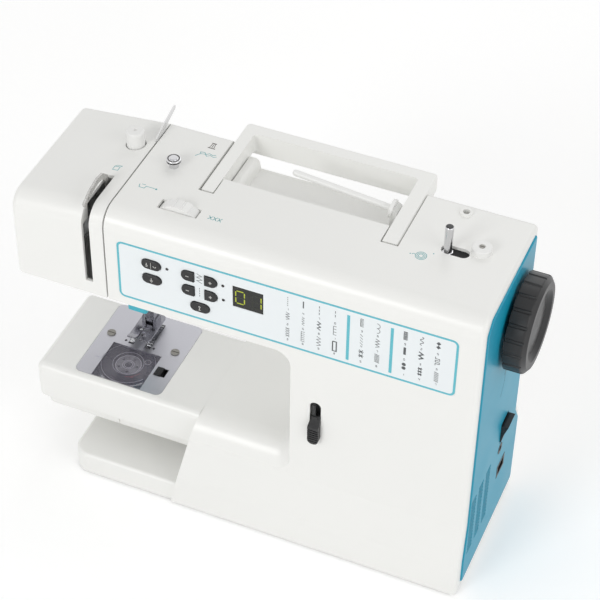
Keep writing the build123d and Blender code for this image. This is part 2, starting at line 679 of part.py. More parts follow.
# Reverse lever: thumb piece, stem through the slot and a shield behind it
LEVER_MID = (LEVER[0] + LEVER[1]) / 2
with BuildPart() as reverse_lever:
    with BuildSketch(Plane.XZ.offset(-Y_FRONT + 0.5)) as thumb:
        with BuildLine():
            Polyline(
                (LEVER_MID - 4.2, 116.5),
                (LEVER_MID + 4.2, 116.5),
                (LEVER_MID + 4.2, 143),
                (LEVER_MID + 0.6, 143),
                (LEVER_MID + 0.6, 153),
                (LEVER_MID - 2.4, 153),
                (LEVER_MID - 2.4, 141),
                (LEVER_MID - 4.2, 135),
                close=True,
            )
        make_face()
        fillet(thumb.vertices().sort_by(Axis.Y)[:2], 3.9)
    extrude(amount=4.2)
    with BuildSketch(Plane.YZ.offset(LEVER_MID - 10)):
        with BuildLine():
            Polyline((-70, 160), (-62.9, 160), (-62.9, 141), (-64.2, 135), (-70, 131), close=True)
        make_face()
    extrude(amount=20, mode=Mode.SUBTRACT)
    for k in range(6):
        z = 119 + 2.2 * k
        block(LEVER_MID - 6, LEVER_MID + 6, -70, -66, z, z + 0.9, Mode.SUBTRACT)
    block(LEVER_MID - 2.4, LEVER_MID + 2.4, -63.5, -42, 132.5, 142)
    block(LEVER_MID - 7.5, LEVER_MID + 7.5, -58.6, -56.6, 115, 160)
    block(LEVER_MID - 2.4, LEVER_MID + 2.4, -46, -42, 120, 142)
save(reverse_lever.part, "reverse_lever")

# Carrying handle, lying flush in the top
with BuildPart() as handle:
    with BuildSketch(Plane.XY.offset(261)) as grip:
        with BuildLine():
            Polyline(
                (HANDLE_L0, HANDLE_TIP),
                (HANDLE_L0, HANDLE_BACK),
                (HANDLE_R1, HANDLE_BACK),
                (HANDLE_R1, HANDLE_TIP),
                (HANDLE_R0, HANDLE_TIP),
                (HANDLE_R0, HANDLE_BACK - 11),
                (HANDLE_L1, HANDLE_BACK - 11),
                (HANDLE_L1, HANDLE_TIP),
                close=True,
            )
        make_face()
        fillet(grip.vertices().filter_by_position(Axis.Y, 70, 80), 3.5)
        fillet(grip.vertices().filter_by_position(Axis.Y, 60, 66), 3)
    extrude(amount=15)
    with BuildSketch(Plane.XY.offset(256.5)) as drop:
        with Locations(((HANDLE_L0 + HANDLE_R1) / 2, HANDLE_BACK - 5.5)):
            Rectangle(HANDLE_R1 - HANDLE_L0 - 8, 11)
        fillet(drop.vertices(), 4)
    extrude(amount=6)
    fillet(handle.edges().filter_by(Axis.X).filter_by_position(Axis.Z, 260, 262).sort_by(Axis.Y)[:2], 6)
    fillet(handle.edges().filter_by(Axis.X).filter_by_position(Axis.Y, 73, 75), 2)
    rod_x(HANDLE_L0 - 1, HANDLE_L1 + 1, PIVOT_Y, PIVOT_Z, 2.05, Mode.SUBTRACT)
    rod_x(HANDLE_R0 - 1, HANDLE_R1 + 1, PIVOT_Y, PIVOT_Z, 2.05, Mode.SUBTRACT)
save(handle.part, "handle")

with BuildPart() as handle_pins:
    rod_x(HANDLE_L0 - 3.4, HANDLE_L1 + 3.4, PIVOT_Y, PIVOT_Z, 1.98)
    rod_x(HANDLE_R0 - 3.4, HANDLE_R1 + 3.4, PIVOT_Y, PIVOT_Z, 1.98)
save(handle_pins.part, "handle_pins")

# Horizontal spool pin on its post
PIN_TILT = 6.0
pin_axis = Plane(
    origin=(HANDLE_R0 - 6, 31, 270.5),
    x_dir=(0, 1, 0),
    z_dir=(-cos(radians(PIN_TILT)), 0, sin(radians(PIN_TILT))),
)
with BuildPart() as spool_pin:
    with BuildSketch(Plane.XZ.offset(-37)):
        with BuildLine():
            Polyline(
                (HANDLE_R0 - 8, RECESS_Z),
                (HANDLE_R0 - 2.4, RECESS_Z),
                (HANDLE_R0 - 2.4, 271),
                (HANDLE_R0 - 5, 273),
                (HANDLE_R0 - 6.4, 273),
                close=True,
            )
        make_face()
    extrude(amount=12)
    with BuildSketch(pin_axis):
        Circle(7)
    extrude(amount=2.6)
    with BuildSketch(pin_axis):
        Circle(2.4)
    extrude(amount=78)
    fillet(spool_pin.faces().sort_by(Axis.X)[0].edges(), 2)
save(spool_pin.part, "spool_pin")

# Bobbin winder: carrier under the slot, spindle, stopper and pre-tension stud
CARRIER_X0 = HANDLE_R1 + 7.3
CARRIER_X1 = WINDER[0] + 20
with BuildPart() as winder_carrier:
    with BuildSketch(Plane.XY.offset(268.6)):
        with Locations(((CARRIER_X0 + CARRIER_X1) / 2, WINDER[1])):
            RectangleRounded(CARRIER_X1 - CARRIER_X0, 16, 4)
        with Locations(WINDER):
            Circle(3.05, mode=Mode.SUBTRACT)
    extrude(amount=4.6)
save(winder_carrier.part, "winder_carrier")

with BuildPart() as winder_spindle:
    rod_z(258, 297, WINDER[0], WINDER[1], 3)
    fillet(winder_spindle.faces().sort_by(Axis.Z)[-1].edges(), 1.2)
    rod_z(259, 266, WINDER[0], WINDER[1], 9)
    rod_z(266, 268.3, WINDER[0], WINDER[1], 4.5)
    rod_z(273.5, 274.1, WINDER[0], WINDER[1], 3.6)
save(winder_spindle.part, "winder_spindle")

with BuildPart() as winder_stop:
    rod_z(Z_TOP, Z_TOP + 4.8, STOPPER[0], STOPPER[1], 7.2)
    fillet(winder_stop.faces().filter_by(Axis.Z).sort_by(Axis.Z)[-1].edges(), 1)
    rod_z(Z_TOP + 4, Z_TOP + 8, STOPPER[0], STOPPER[1], 2.4, Mode.SUBTRACT)
    rod_z(Z_TOP + 3.8, Z_TOP + 4.6, STOPPER[0], STOPPER[1], 2)
    rod_z(273.6, Z_TOP, STOPPER[0], STOPPER[1], 2)
save(winder_stop.part, "winder_stop")

with BuildPart() as winder_guide:
    rod_z(271, Z_TOP, GUIDE_STUD[0], GUIDE_STUD[1], 2)
    rod_z(Z_TOP, Z_TOP + 4.5, GUIDE_STUD[0], GUIDE_STUD[1], 3.6)
    rod_z(Z_TOP + 4.5, Z_TOP + 5.3, GUIDE_STUD[0], GUIDE_STUD[1], 5.4)
    rod_z(Z_TOP + 5.3, Z_TOP + 6.3, GUIDE_STUD[0], GUIDE_STUD[1], 2.5)
    rod_z(Z_TOP + 6.3, Z_TOP + 7.3, GUIDE_STUD[0], GUIDE_STUD[1], 5.4)
    fillet(winder_guide.faces().sort_by(Axis.Z)[-1].edges(), 0.6)
    rod_z(Z_TOP + 7.3, Z_TOP + 8.1, GUIDE_STUD[0], GUIDE_STUD[1], 2.8)
save(winder_guide.part, "winder_guide")

# Sheet-metal thread guide at the rear end of the thread channel
with BuildPart() as rear_thread_guide:
    with BuildSketch(Plane.YZ.offset(HEAD_END)) as leaf:
        with BuildLine():
            Polyline(
                (25, 273.6),
                (25, 279),
                (40, 284.5),
                (54, 288),
                (58, 287.5),
                (57, 284.5),
                (46, 281),
                (40, 277.5),
                (40, 273.6),
                close=True,
            )
        make_face()
        fillet(leaf.vertices().sort_by(Axis.X)[-2:], 1)
    extrude(amount=0.8)
save(rear_thread_guide.part, "rear_thread_guide")

# Thread tension
with BuildPart() as tension_dial:
    with BuildSketch(Plane.XZ.offset(-DIAL[1] - DIAL_W / 2)):
        with Locations((DIAL[0], DIAL[2])):
            Circle(DIAL_R)
            with PolarLocations(DIAL_R + 0.5, 18):
                Circle(1.2, mode=Mode.SUBTRACT)
            Circle(2.55, mode=Mode.SUBTRACT)
    extrude(amount=DIAL_W)
save(tension_dial.part, "tension_dial")

with BuildPart() as tension_unit:
    rod_y(-48, -18, DIAL[0], DIAL[2], 2.5)
    rod_y(-28.6, -27.4, DIAL[0], DIAL[2], 9)
    rod_y(-26.6, -25.4, DIAL[0], DIAL[2], 9)
    rod_y(-48, -46, DIAL[0], DIAL[2], 5)
    block(DIAL[0] - 12, DIAL[0] + 12, -20, -17, DIAL[2] - 8, Z_TOP - WALL)
save(tension_unit.part, "tension_unit")

# Presser pressure knob
with BuildPart() as pressure_knob:
    rod_z(264, 287.5, KNOB[0], KNOB[1], 6.8)
    fillet(pressure_knob.faces().sort_by(Axis.Z)[-1].edges(), 1.6)
    rod_z(264, 270.6, KNOB[0], KNOB[1], 9)
    rod_z(286.6, 290, KNOB[0], KNOB[1], 1.2, Mode.SUBTRACT)
    rod_z(260, 272, NEEDLE_X, NEEDLE_Y, BAR_R + 0.4, Mode.SUBTRACT)
save(pressure_knob.part, "pressure_knob")

# Take-up lever on its stud
STUD = (-12.0, 236.0)
with BuildPart() as take_up_lever:
    with BuildSketch(Plane.YZ.offset(-129.2)) as lever_shape:
        with BuildLine():
            Polyline(
                (-16.5, 236),
                (-26, 262),
                (-29.5, 277),
                (-34, 281.5),
                (-40, 282.5),
                (-52, 280),
                (-60.5, 276),
                (-61.5, 279),
                (-53, 284),
                (-40, 286.8),
                (-32, 285.5),
                (-26, 280),
                (-20, 262),
                (-8, 239),
                (-8, 234),
                close=True,
            )
        make_face()
        with Locations(STUD):
            Circle(5)
            Circle(2.55, mode=Mode.SUBTRACT)
        with Locations((-55, 280)):
            Circle(1.1, mode=Mode.SUBTRACT)
    extrude(amount=1.8)
save(take_up_lever.part, "take_up_lever")

# Upper shaft group
with BuildPart() as main_shaft:
    rod_x(-113.5, 184, SHAFT_Y, SHAFT_Z, SHAFT_R)
    chamfer(main_shaft.edges().filter_by(GeomType.CIRCLE), 0.5)
save(main_shaft.part, "main_shaft")

with BuildPart() as crank_disc:
    rod_x(-114, -108, SHAFT_Y, SHAFT_Z, 15)
    rod_x(-113.5, -100, SHAFT_Y, SHAFT_Z, SHAFT_R, Mode.SUBTRACT)
    rod_x(-117, -114, SHAFT_Y, SHAFT_Z + 11, 2.6)
    block(-112, -110, SHAFT_Y - 20, SHAFT_Y + 20, SHAFT_Z + 6, SHAFT_Z + 7.5, Mode.SUBTRACT)
save(crank_disc.part, "crank_disc")

with BuildPart() as shaft_pulleys:
    rod_x(134, 142, SHAFT_Y, SHAFT_Z, 30)
    with Locations(Location((134, SHAFT_Y, SHAFT_Z), (0, 90, 0))):
        with PolarLocations(18, 5):
            Cylinder(6.5, 30, mode=Mode.SUBTRACT)
    rod_x(60, 68, SHAFT_Y, SHAFT_Z, 15)
    rod_x(50, 150, SHAFT_Y, SHAFT_Z, SHAFT_R, Mode.SUBTRACT)
save(shaft_pulleys.part, "shaft_pulleys")

with BuildPart() as handwheel:
    with BuildSketch(Plane.XY.offset(SHAFT_Z)) as wheel_half:
        with BuildLine():
            Polyline(
                (164, SHAFT_Y),
                (164, SHAFT_Y + 12),
                (173, SHAFT_Y + 13),
                (173, SHAFT_Y + WHEEL_R - 3),
                (172, SHAFT_Y + WHEEL_R),
                (185, SHAFT_Y + WHEEL_R),
                (188, SHAFT_Y + WHEEL_R - 4),
                (188, SHAFT_Y + WHEEL_R - 9),
                (184.5, SHAFT_Y + WHEEL_R - 13),
                (185.5, SHAFT_Y + 8),
                (186, SHAFT_Y),
                close=True,
            )
        make_face()
        fillet(wheel_half.vertices().filter_by_position(Axis.X, 184.9, 185.1), 2)
    revolve(axis=Axis((0, SHAFT_Y, SHAFT_Z), (1, 0, 0)))
    with Locations(Location((172, SHAFT_Y, SHAFT_Z), (0, 90, 0))):
        with PolarLocations(WHEEL_R + 0.6, 20):
            Cylinder(1.6, 40, mode=Mode.SUBTRACT)
    rod_x(160, 184, SHAFT_Y, SHAFT_Z, SHAFT_R, Mode.SUBTRACT)
save(handwheel.part, "handwheel")

# Motor and belts
with BuildPart() as motor:
    rod_x(76, 126, MOTOR_Y, MOTOR_Z, 24)
    chamfer(motor.edges().filter_by(GeomType.CIRCLE), 2)
    rod_x(126, 129, MOTOR_Y, MOTOR_Z, 9)
    block(84, 118, MOTOR_Y - 20, MOTOR_Y + 20, 13, 36)
    rod_x(118, 130, MOTOR_Y, MOTOR_Z, 2.5 + FIT, Mode.SUBTRACT)
save(motor.part, "motor")

with BuildPart() as motor_pulley:
    rod_x(119, 143, MOTOR_Y, MOTOR_Z, 2.5)
    rod_x(134, 142, MOTOR_Y, MOTOR_Z, 7)
save(motor_pulley.part, "motor_pulley")


def belt_outline(x, ends):
    with BuildSketch(Plane.YZ.offset(x)) as loop:
        for y, z, r in ends:
            with Locations((y, z)):
                Circle(r)
        make_hull()
    return loop.sketch


with BuildPart() as motor_belt:
    extrude(belt_outline(135, ((SHAFT_Y, SHAFT_Z, 32.2), (MOTOR_Y, MOTOR_Z, 9.2))), amount=6)
    extrude(
        belt_outline(135, ((SHAFT_Y, SHAFT_Z, 30.4), (MOTOR_Y, MOTOR_Z, 7.4))), amount=6, mode=Mode.SUBTRACT
    )
save(motor_belt.part, "motor_belt")

with BuildPart() as timing_belt:
    extrude(belt_outline(61, ((SHAFT_Y, SHAFT_Z, 17.2), (LOWER_Y, LOWER_Z, 17.2))), amount=6)
    extrude(
        belt_outline(61, ((SHAFT_Y, SHAFT_Z, 15.4), (LOWER_Y, LOWER_Z, 15.4))), amount=6, mode=Mode.SUBTRACT
    )
save(timing_belt.part, "timing_belt")

# Lower shaft and rotary hook
GEAR_Z = LOWER_Z
with BuildPart() as lower_shaft:
    rod_x(-133, 71, LOWER_Y, LOWER_Z, LOWER_R)
    rod_x(60, 68, LOWER_Y, LOWER_Z, 15)
    with BuildSketch(Plane.YZ.offset(-131)):
        with Locations((LOWER_Y, LOWER_Z)):
            Circle(8)
            with PolarLocations(8.4, 12):
                Circle(1.2, mode=Mode.SUBTRACT)
    extrude(amount=10)
save(lower_shaft.part, "lower_shaft")

with BuildPart() as rotary_hook:
    rod_z(65, 83, HOOK_X, HOOK_Y, 24.6)
    rod_z(68, 90, HOOK_X, HOOK_Y, 22.6, Mode.SUBTRACT)
    rod_z(47.7, 65, HOOK_X, HOOK_Y, 4)
    with BuildSketch(Plane.XY.offset(GEAR_Z - 4)):
        with Locations((HOOK_X, HOOK_Y)):
            Circle(14)
            with PolarLocations(14.4, 20):
                Circle(1.2, mode=Mode.SUBTRACT)
    extrude(amount=8)
    # thread gap beside the hook point
    block(HOOK_X - 4, HOOK_X + 14, HOOK_Y + 16, HOOK_Y + 30, 76, 90, Mode.SUBTRACT)
save(rotary_hook.part, "rotary_hook")

with BuildPart() as bobbin_case:
    rod_z(68.4, 84, HOOK_X, HOOK_Y, 22)
    rod_z(71, 90, HOOK_X, HOOK_Y, 11.6, Mode.SUBTRACT)
    rod_z(71, 80, HOOK_X, HOOK_Y, 2.6)
    rod_z(75, 90, HOOK_X + 13.5, HOOK_Y + 7, 1.6, Mode.SUBTRACT)
    block(HOOK_X - 21, HOOK_X - 12.5, HOOK_Y - 1, HOOK_Y + 1, 80, 90, Mode.SUBTRACT)
    # lug that holds the case against the frame stop
    block(HOOK_X + 19, HOOK_X + 27, HOOK_Y - 14, HOOK_Y - 8, 83.4, 86)
save(bobbin_case.part, "bobbin_case")

with BuildPart() as bobbin:
    rod_z(71.4, 72.6, HOOK_X, HOOK_Y, 10.5)
    rod_z(72.6, 81.4, HOOK_X, HOOK_Y, 4.4)
    rod_z(81.4, 82.6, HOOK_X, HOOK_Y, 10.5)
    rod_z(70, 85, HOOK_X, HOOK_Y, 2.9, Mode.SUBTRACT)
    with Locations((HOOK_X, HOOK_Y, 81)):
        with PolarLocations(7.4, 5):
            Cylinder(1.2, 10, mode=Mode.SUBTRACT)
save(bobbin.part, "bobbin")

# Feed dog
with BuildPart() as feed_dog:
    for row in FEED_ROWS:
        block(row - 1.9, row + 1.9, -1.5, 24.5, 85.4, 91.4)
        for k in range(9):
            y = -0.2 + 2.8 * k
            block(row - 3, row + 3, y, y + 1.2, 90.7, 95, Mode.SUBTRACT)
    block(FEED_ROWS[0] - 1.9, FEED_ROWS[1] + 1.9, 16, 24.5, 85.4, 88.8)
    block(NEEDLE_X - 4, NEEDLE_X + 4, 19, 24.5, 64, 86)
save(feed_dog.part, "feed_dog")

# Presser bar, ankle, snap-on foot and lifter
with BuildPart() as presser_bar:
    rod_z(112, 258.4, NEEDLE_X, PRESSER_Y, BAR_R)
    rod_z(219, 228, NEEDLE_X, PRESSER_Y, 5.6)
    block(NEEDLE_X - 3.5, NEEDLE_X + 3.5, PRESSER_Y, 43, 224, 228)
    block(-141, NEEDLE_X, 38, 43, 224, 228)
save(presser_bar.part, "presser_bar")

PIN_Z = 96.2 + FOOT_UP
with BuildPart() as presser_ankle:
    block(NEEDLE_X - 5, NEEDLE_X + 5, PRESSER_Y - 5, PRESSER_Y + 5, PIN_Z + 2.5, 120)
    block(NEEDLE_X - 2.4, NEEDLE_X + 2.4, PRESSER_Y - 4, PRESSER_Y + 5, PIN_Z - 1.6, PIN_Z + 3)
    rod_x(NEEDLE_X - 6, NEEDLE_X + 6, PRESSER_Y, PIN_Z, 1.35, Mode.SUBTRACT)
    rod_z(112, 125, NEEDLE_X, PRESSER_Y, BAR_R, Mode.SUBTRACT)
    rod_x(NEEDLE_X - 13, NEEDLE_X - 5, PRESSER_Y, 115, 2)
    rod_x(NEEDLE_X - 14, NEEDLE_X - 9, PRESSER_Y, 115, 4.5)
save(presser_ankle.part, "presser_ankle")

SOLE_Z = Z_BED + FOOT_UP
with BuildPart() as presser_foot:
    with BuildSketch(Plane.XY.offset(SOLE_Z)) as sole:
        with Locations((NEEDLE_X, 14)):
            RectangleRounded(18, 30, 2.5)
        with Locations((NEEDLE_X, -1)):
            Rectangle(3.4, 14, mode=Mode.SUBTRACT)
        with Locations((NEEDLE_X, 9)):
            SlotOverall(9, 4, mode=Mode.SUBTRACT)
    extrude(amount=1.6)
    for x in (NEEDLE_X - 6.3, NEEDLE_X + 3.3):
        block(x, x + 3, PRESSER_Y - 4, PRESSER_Y + 4, SOLE_Z + 1.6, PIN_Z + 1.9)
    rod_x(NEEDLE_X - 6.3, NEEDLE_X + 6.3, PRESSER_Y, PIN_Z, 1.3)
    # toes turned up at the front
    for x in (NEEDLE_X - 9, NEEDLE_X + 1.7):
        with BuildSketch(Plane.YZ.offset(x + 0.15)):
            with BuildLine():
                Polyline(
                    (1, SOLE_Z + 0.2),
                    (1, SOLE_Z + 1.6),
                    (-4.5, SOLE_Z + 3.6),
                    (-4.8, SOLE_Z + 2.4),
                    close=True,
                )
            make_face()
        extrude(amount=7)
save(presser_foot.part, "presser_foot")

LIFT_X = -132.0
LIFT_Z = 212.0
with BuildPart() as presser_lifter:
    with BuildSketch(Plane.XZ.offset(-44)):
        # cam nose: the bar's arm rides down it evenly as the lever drops
        with BuildLine():
            Polyline(
                (LIFT_X - 6, LIFT_Z),
                (LIFT_X - 6.1, LIFT_Z + 11.7),
                (LIFT_X - 3.3, LIFT_Z + 11.3),
                (LIFT_X - 1, LIFT_Z + 10.4),
                (LIFT_X + 0.6, LIFT_Z + 9.1),
                (LIFT_X + 5.5, LIFT_Z + 2.4),
                close=True,
            )
        make_face()
        with Locations((LIFT_X, LIFT_Z)):
            Circle(6)
        with Locations(Location((LIFT_X, LIFT_Z), (0, 0, 1), -45)):
            with Locations((0, -19)):
                Rectangle(7, 38)
            with Locations((0, -42)):
                RectangleRounded(13, 16, 4)
        with Locations((LIFT_X, LIFT_Z)):
            Circle(2.5 + FIT, mode=Mode.SUBTRACT)
    extrude(amount=7)
save(presser_lifter.part, "presser_lifter")

# Needle bar with yoke and clamp, and the needle
with BuildPart() as needle_bar:
    rod_z(142, 268.5, NEEDLE_X, NEEDLE_Y, BAR_R)
    block(-126.9, -117.4, NEEDLE_Y - 5, NEEDLE_Y + 5, 228, 237)
    block(-120, -117.4, NEEDLE_Y - 15, NEEDLE_Y + 5.4, 229, 232)
    rod_z(138, 154, NEEDLE_X, NEEDLE_Y, 5.4)
    rod_z(130, 149, NEEDLE_X, NEEDLE_Y, 1.02, Mode.SUBTRACT)
    rod_x(NEEDLE_X + 4, NEEDLE_X + 14, NEEDLE_Y, 145, 2)
    rod_x(NEEDLE_X + 8.5, NEEDLE_X + 14, NEEDLE_Y, 145, 3.6)
    block(NEEDLE_X - 4.6, NEEDLE_X + 2, NEEDLE_Y - 7.5, NEEDLE_Y - 4, 140, 141.4)
save(needle_bar.part, "needle_bar")

with BuildPart() as needle:
    rod_z(130, 149, NEEDLE_X, NEEDLE_Y, 1)
    rod_z(108, 130, NEEDLE_X, NEEDLE_Y, 0.5)
    with Locations((NEEDLE_X, NEEDLE_Y, 108)):
        Cone(0.5, 0.08, 5, rotation=(180, 0, 0), align=(Align.CENTER, Align.CENTER, Align.MIN))
save(needle.part, "needle")

# Needle threader: sliding rod with a coloured finger tab
THREADER = (-128.0, -2.6)
with BuildPart() as needle_threader:
    rod_z(134, 234.5, THREADER[0], THREADER[1], 2)
    rod_z(228.5, 234.5, THREADER[0], THREADER[1], 4)
    with BuildSketch(Plane.XY.offset(131.5)):
        with Locations((THREADER[0] + 6.4, THREADER[1])):
            RectangleRounded(16, 6.8, 2)
    extrude(amount=7.5)
save(needle_threader.part, "needle_threader")

# Work lamp lens under the head
with BuildPart() as lamp_lens:
    block(-175.8, -160.2, -11.8, 11.8, Z_ARM - 0.8, 199.5)
    block(-178, -158, -14, 14, Z_ARM + WALL, 200.5)
save(lamp_lens.part, "lamp_lens")

# Power switch, sockets and fasteners
with BuildPart() as power_switch:
    with BuildSketch(Plane.XZ.offset(-SWITCH[0] - SWITCH_HALF + 0.4)):
        with BuildLine():
            Polyline(
                (159, SWITCH[1] - 7),
                (159, SWITCH[1] + 7),
                (171, SWITCH[1] + 8.5),
                (174.5, SWITCH[1] + 8.5),
                (171.6, SWITCH[1]),
                (170, SWITCH[1] - 8.5),
                (167, SWITCH[1] - 8.5),
                close=True,
            )
        make_face()
    extrude(amount=2 * SWITCH_HALF - 0.8)
    rod_y(SWITCH[0] - SWITCH_HALF - 1.1, SWITCH[0] + SWITCH_HALF + 1.1, 167.5, SWITCH[1], 1.2)
save(power_switch.part, "power_switch")

with BuildPart() as socket_block:
    block(151, X_SIDE + 1.4, INLET[0] - 8.8, INLET[0] + 8.8, INLET[1] - 6.3, INLET[1] + 6.3)
    block(156, 180, INLET[0] - 6.4, INLET[0] + 6.4, INLET[1] - 4, INLET[1] + 4, Mode.SUBTRACT)
    for side in (-3, 3):
        rod_x(154, 162, INLET[0] + side, INLET[1], 1.1)
    rod_x(151, X_SIDE + 1.4, JACK[0], JACK[1], 4.8)
    rod_x(156, 180, JACK[0], JACK[1], 2.3, Mode.SUBTRACT)
    block(149, 151.5, JACK[0] - 6, INLET[0] + 8.8, INLET[1] - 6.3, JACK[1] + 6)
save(socket_block.part, "socket_block")

with BuildPart() as cover_screws:
    for x, z, y in COVER_SCREWS:
        rod_y(y - 10, y, x, z, 2)
        rod_y(y, y + 1.8, x, z, 3.6)
        block(x - 2.6, x + 2.6, y + 1, y + 3, z - 0.5, z + 0.5, Mode.SUBTRACT)
        block(x - 0.5, x + 0.5, y + 1, y + 3, z - 2.6, z + 2.6, Mode.SUBTRACT)
save(cover_screws.part, "cover_screws")

# Cast frame that carries the shafts, the head and the free arm
with BuildPart() as chassis:
    # column and upper beam in one profile with lightening slots
    with BuildSketch(Plane.XZ.offset(-42)) as frame_profile:
        with BuildLine():
            Polyline(
                (62, 9),
                (124, 9),
                (124, 15),
                (100, 30),
                (96, 60),
                (96, 196),
                (112, 206),
                (128, 206),
                (128, 236),
                (-101, 236),
                (-101, 206),
                (66, 206),
                (82, 196),
                (82, 60),
                (78, 30),
                (62, 15),
                close=True,
            )
        make_face()
        fillet(frame_profile.vertices().filter_by_position(Axis.Y, 10, 230), 3)
        with Locations((-58, 224), (-8, 224), (42, 224)):
            SlotOverall(36, 10, mode=Mode.SUBTRACT)
        with Locations((89, 78), (89, 164)):
            SlotOverall(46, 6, rotation=90, mode=Mode.SUBTRACT)
    extrude(amount=14)
    for x, z, y in COVER_SCREWS:
        rod_y(41, y - WALL, x, z, 5)
        rod_y(y - 10, y + 5, x, z, 2.02, Mode.SUBTRACT)
    # bearings of the upper shaft
    for x0, x1 in ((112, 124), (-101, -92)):
        rod_x(x0, x1, SHAFT_Y, SHAFT_Z, 11)
        block(x0, x1, SHAFT_Y, 30, SHAFT_Z - 8, SHAFT_Z + 8)
    # head plate with the brackets of the two bars
    with BuildSketch(Plane.YZ.offset(-106)) as head_plate:
        with Locations((12, 223.5)):
            RectangleRounded(60, 49, 6)
        with Locations((29, 223.5)):
            SlotOverall(30, 9, rotation=90, mode=Mode.SUBTRACT)
    extrude(amount=5)
    with BuildSketch(Plane.XY.offset(199)):
        with Locations((-122, 11)):
            RectangleRounded(46, 38, 5)
    extrude(amount=5)
    with BuildSketch(Plane.XY.offset(240)):
        with Locations((-115.5, 15)):
            RectangleRounded(31, 30, 5)
    extrude(amount=6)
    block(-139, -128, 27, 30, 199, 216)
    rod_y(29, 45, LIFT_X, LIFT_Z, 2.5)
    rod_x(-130.6, -104, STUD[0], STUD[1], 2.5)
    rod_x(-107, 130, SHAFT_Y, SHAFT_Z, SHAFT_R + FIT, Mode.SUBTRACT)
    for z0, z1 in ((198, 205), (239, 247)):
        rod_z(z0, z1, NEEDLE_X, NEEDLE_Y, BAR_R + FIT, Mode.SUBTRACT)
        rod_z(z0, z1, NEEDLE_X, PRESSER_Y, BAR_R + FIT, Mode.SUBTRACT)
    rod_z(198, 205, THREADER[0], THREADER[1], 2 + FIT, Mode.SUBTRACT)
    # base plate and the cantilever inside the free arm
    with BuildSketch(Plane.XY.offset(9)):
        with Locations((59, -1)):
            RectangleRounded(198, 94, 8)
        with Locations((-8, -1), (52, 0)):
            SlotOverall(60, 26, rotation=90, mode=Mode.SUBTRACT)
    extrude(amount=4)
    with BuildSketch(Plane.XY.offset(47.2)) as cantilever:
        with BuildLine():
            Polyline((-172, -18), (-150, -30), (40, -30), (40, 25), (-150, 25), (-172, 14), close=True)
        make_face()
        fillet(cantilever.vertices().sort_by(Axis.X)[:4], 5)
        with Locations((-126, LOWER_Y)):
            Rectangle(16, 20, mode=Mode.SUBTRACT)
        with Locations((-70, -14), (-30, -14)):
            SlotOverall(28, 12, mode=Mode.SUBTRACT)
        with Locations((HOOK_X, HOOK_Y)):
            Circle(4 + FIT, mode=Mode.SUBTRACT)
    extrude(amount=3.8)
    block(-128, -119, 15.8, 25, 47.2, 63.8)
    with BuildSketch(Plane.XZ.offset(-24)):
        with BuildLine():
            Polyline((6, 10), (50, 10), (40, 50), (16, 50), close=True)
        make_face()
    extrude(amount=36)
    for x0, x1 in ((-100, -92), (30, 38)):
        rod_x(x0, x1, LOWER_Y, LOWER_Z, 9)
        block(x0, x1, LOWER_Y - 9, LOWER_Y + 9, 48, LOWER_Z)
    rod_x(-110, 45, LOWER_Y, LOWER_Z, LOWER_R + FIT, Mode.SUBTRACT)
save(chassis.part, "chassis")
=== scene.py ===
from math import asin, cos, pi, radians, sin, tan

import bmesh
import bpy
from mathutils import Matrix, Vector


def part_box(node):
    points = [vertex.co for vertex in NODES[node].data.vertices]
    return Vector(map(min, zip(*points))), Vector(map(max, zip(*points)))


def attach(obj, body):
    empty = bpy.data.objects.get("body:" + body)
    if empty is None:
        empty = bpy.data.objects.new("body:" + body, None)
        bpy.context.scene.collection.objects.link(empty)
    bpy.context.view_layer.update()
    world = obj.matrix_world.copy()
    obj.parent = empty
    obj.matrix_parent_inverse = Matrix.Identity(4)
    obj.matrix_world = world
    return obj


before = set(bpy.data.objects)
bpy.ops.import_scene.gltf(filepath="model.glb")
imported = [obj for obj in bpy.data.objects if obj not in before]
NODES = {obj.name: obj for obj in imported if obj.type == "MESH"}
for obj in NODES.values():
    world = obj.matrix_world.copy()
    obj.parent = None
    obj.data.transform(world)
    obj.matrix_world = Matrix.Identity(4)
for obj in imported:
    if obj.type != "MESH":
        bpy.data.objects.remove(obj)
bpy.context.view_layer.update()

# Lengths on the machine are millimetres, turned into metres when meshes are made.
# Relief depths in the materials and the stage are in metres.
MM = 0.001
ROOT = "machine"


def corners(name):
    """Lowest and highest corner of a CAD node at rest, in millimetres."""
    low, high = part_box(name)
    return Vector(low) / MM, Vector(high) / MM


def middle(name):
    low, high = corners(name)
    return (low + high) / 2


def srgb(red, green, blue):
    """Linear colour of an 8-bit screen colour."""
    def linear(value):
        value /= 255
        return value / 12.92 if value <= 0.04045 else ((value + 0.055) / 1.055) ** 2.4
    return (linear(red), linear(green), linear(blue), 1.0)


def shade(colour, factor):
    return (colour[0] * factor, colour[1] * factor, colour[2] * factor, 1.0)


# Materials: noise scales per metre, relief depth, darkest tones and spread of the gloss
DRIFT_SCALE = 9
GLOSS_SCALE = 30
GRAIN_SCALE = 1800
PIN_SCALE = 300
HAZE_SCALE = 40
INK_SCALE = 900
GLOW_SCALE = 500
FLOOR_SCALE = 3
FINE_RELIEF = 0.000003
HAZE_TONE = 0.85
INK_TONE = 0.86
GLOW_TONE = 0.8
METAL_VARY = 0.06
HAZE_VARY = 0.05
INK_VARY = 0.05
INK_ROUGHNESS = 0.4
PIN_ROUGHNESS = (0.14, 0.26)
COAT_ROUGHNESS = 0.15
CLEAR_COAT_ROUGHNESS = 0.05
TIP_EDGE = 0.01
FULL_WHITE = (1.0, 1.0, 1.0, 1.0)


def new_material(name):
    mat = bpy.data.materials.new(name)
    mat.use_nodes = True
    tree = mat.node_tree
    place = tree.nodes.new("ShaderNodeTexCoord")
    return mat, tree, tree.nodes["Principled BSDF"], place.outputs["Object"]


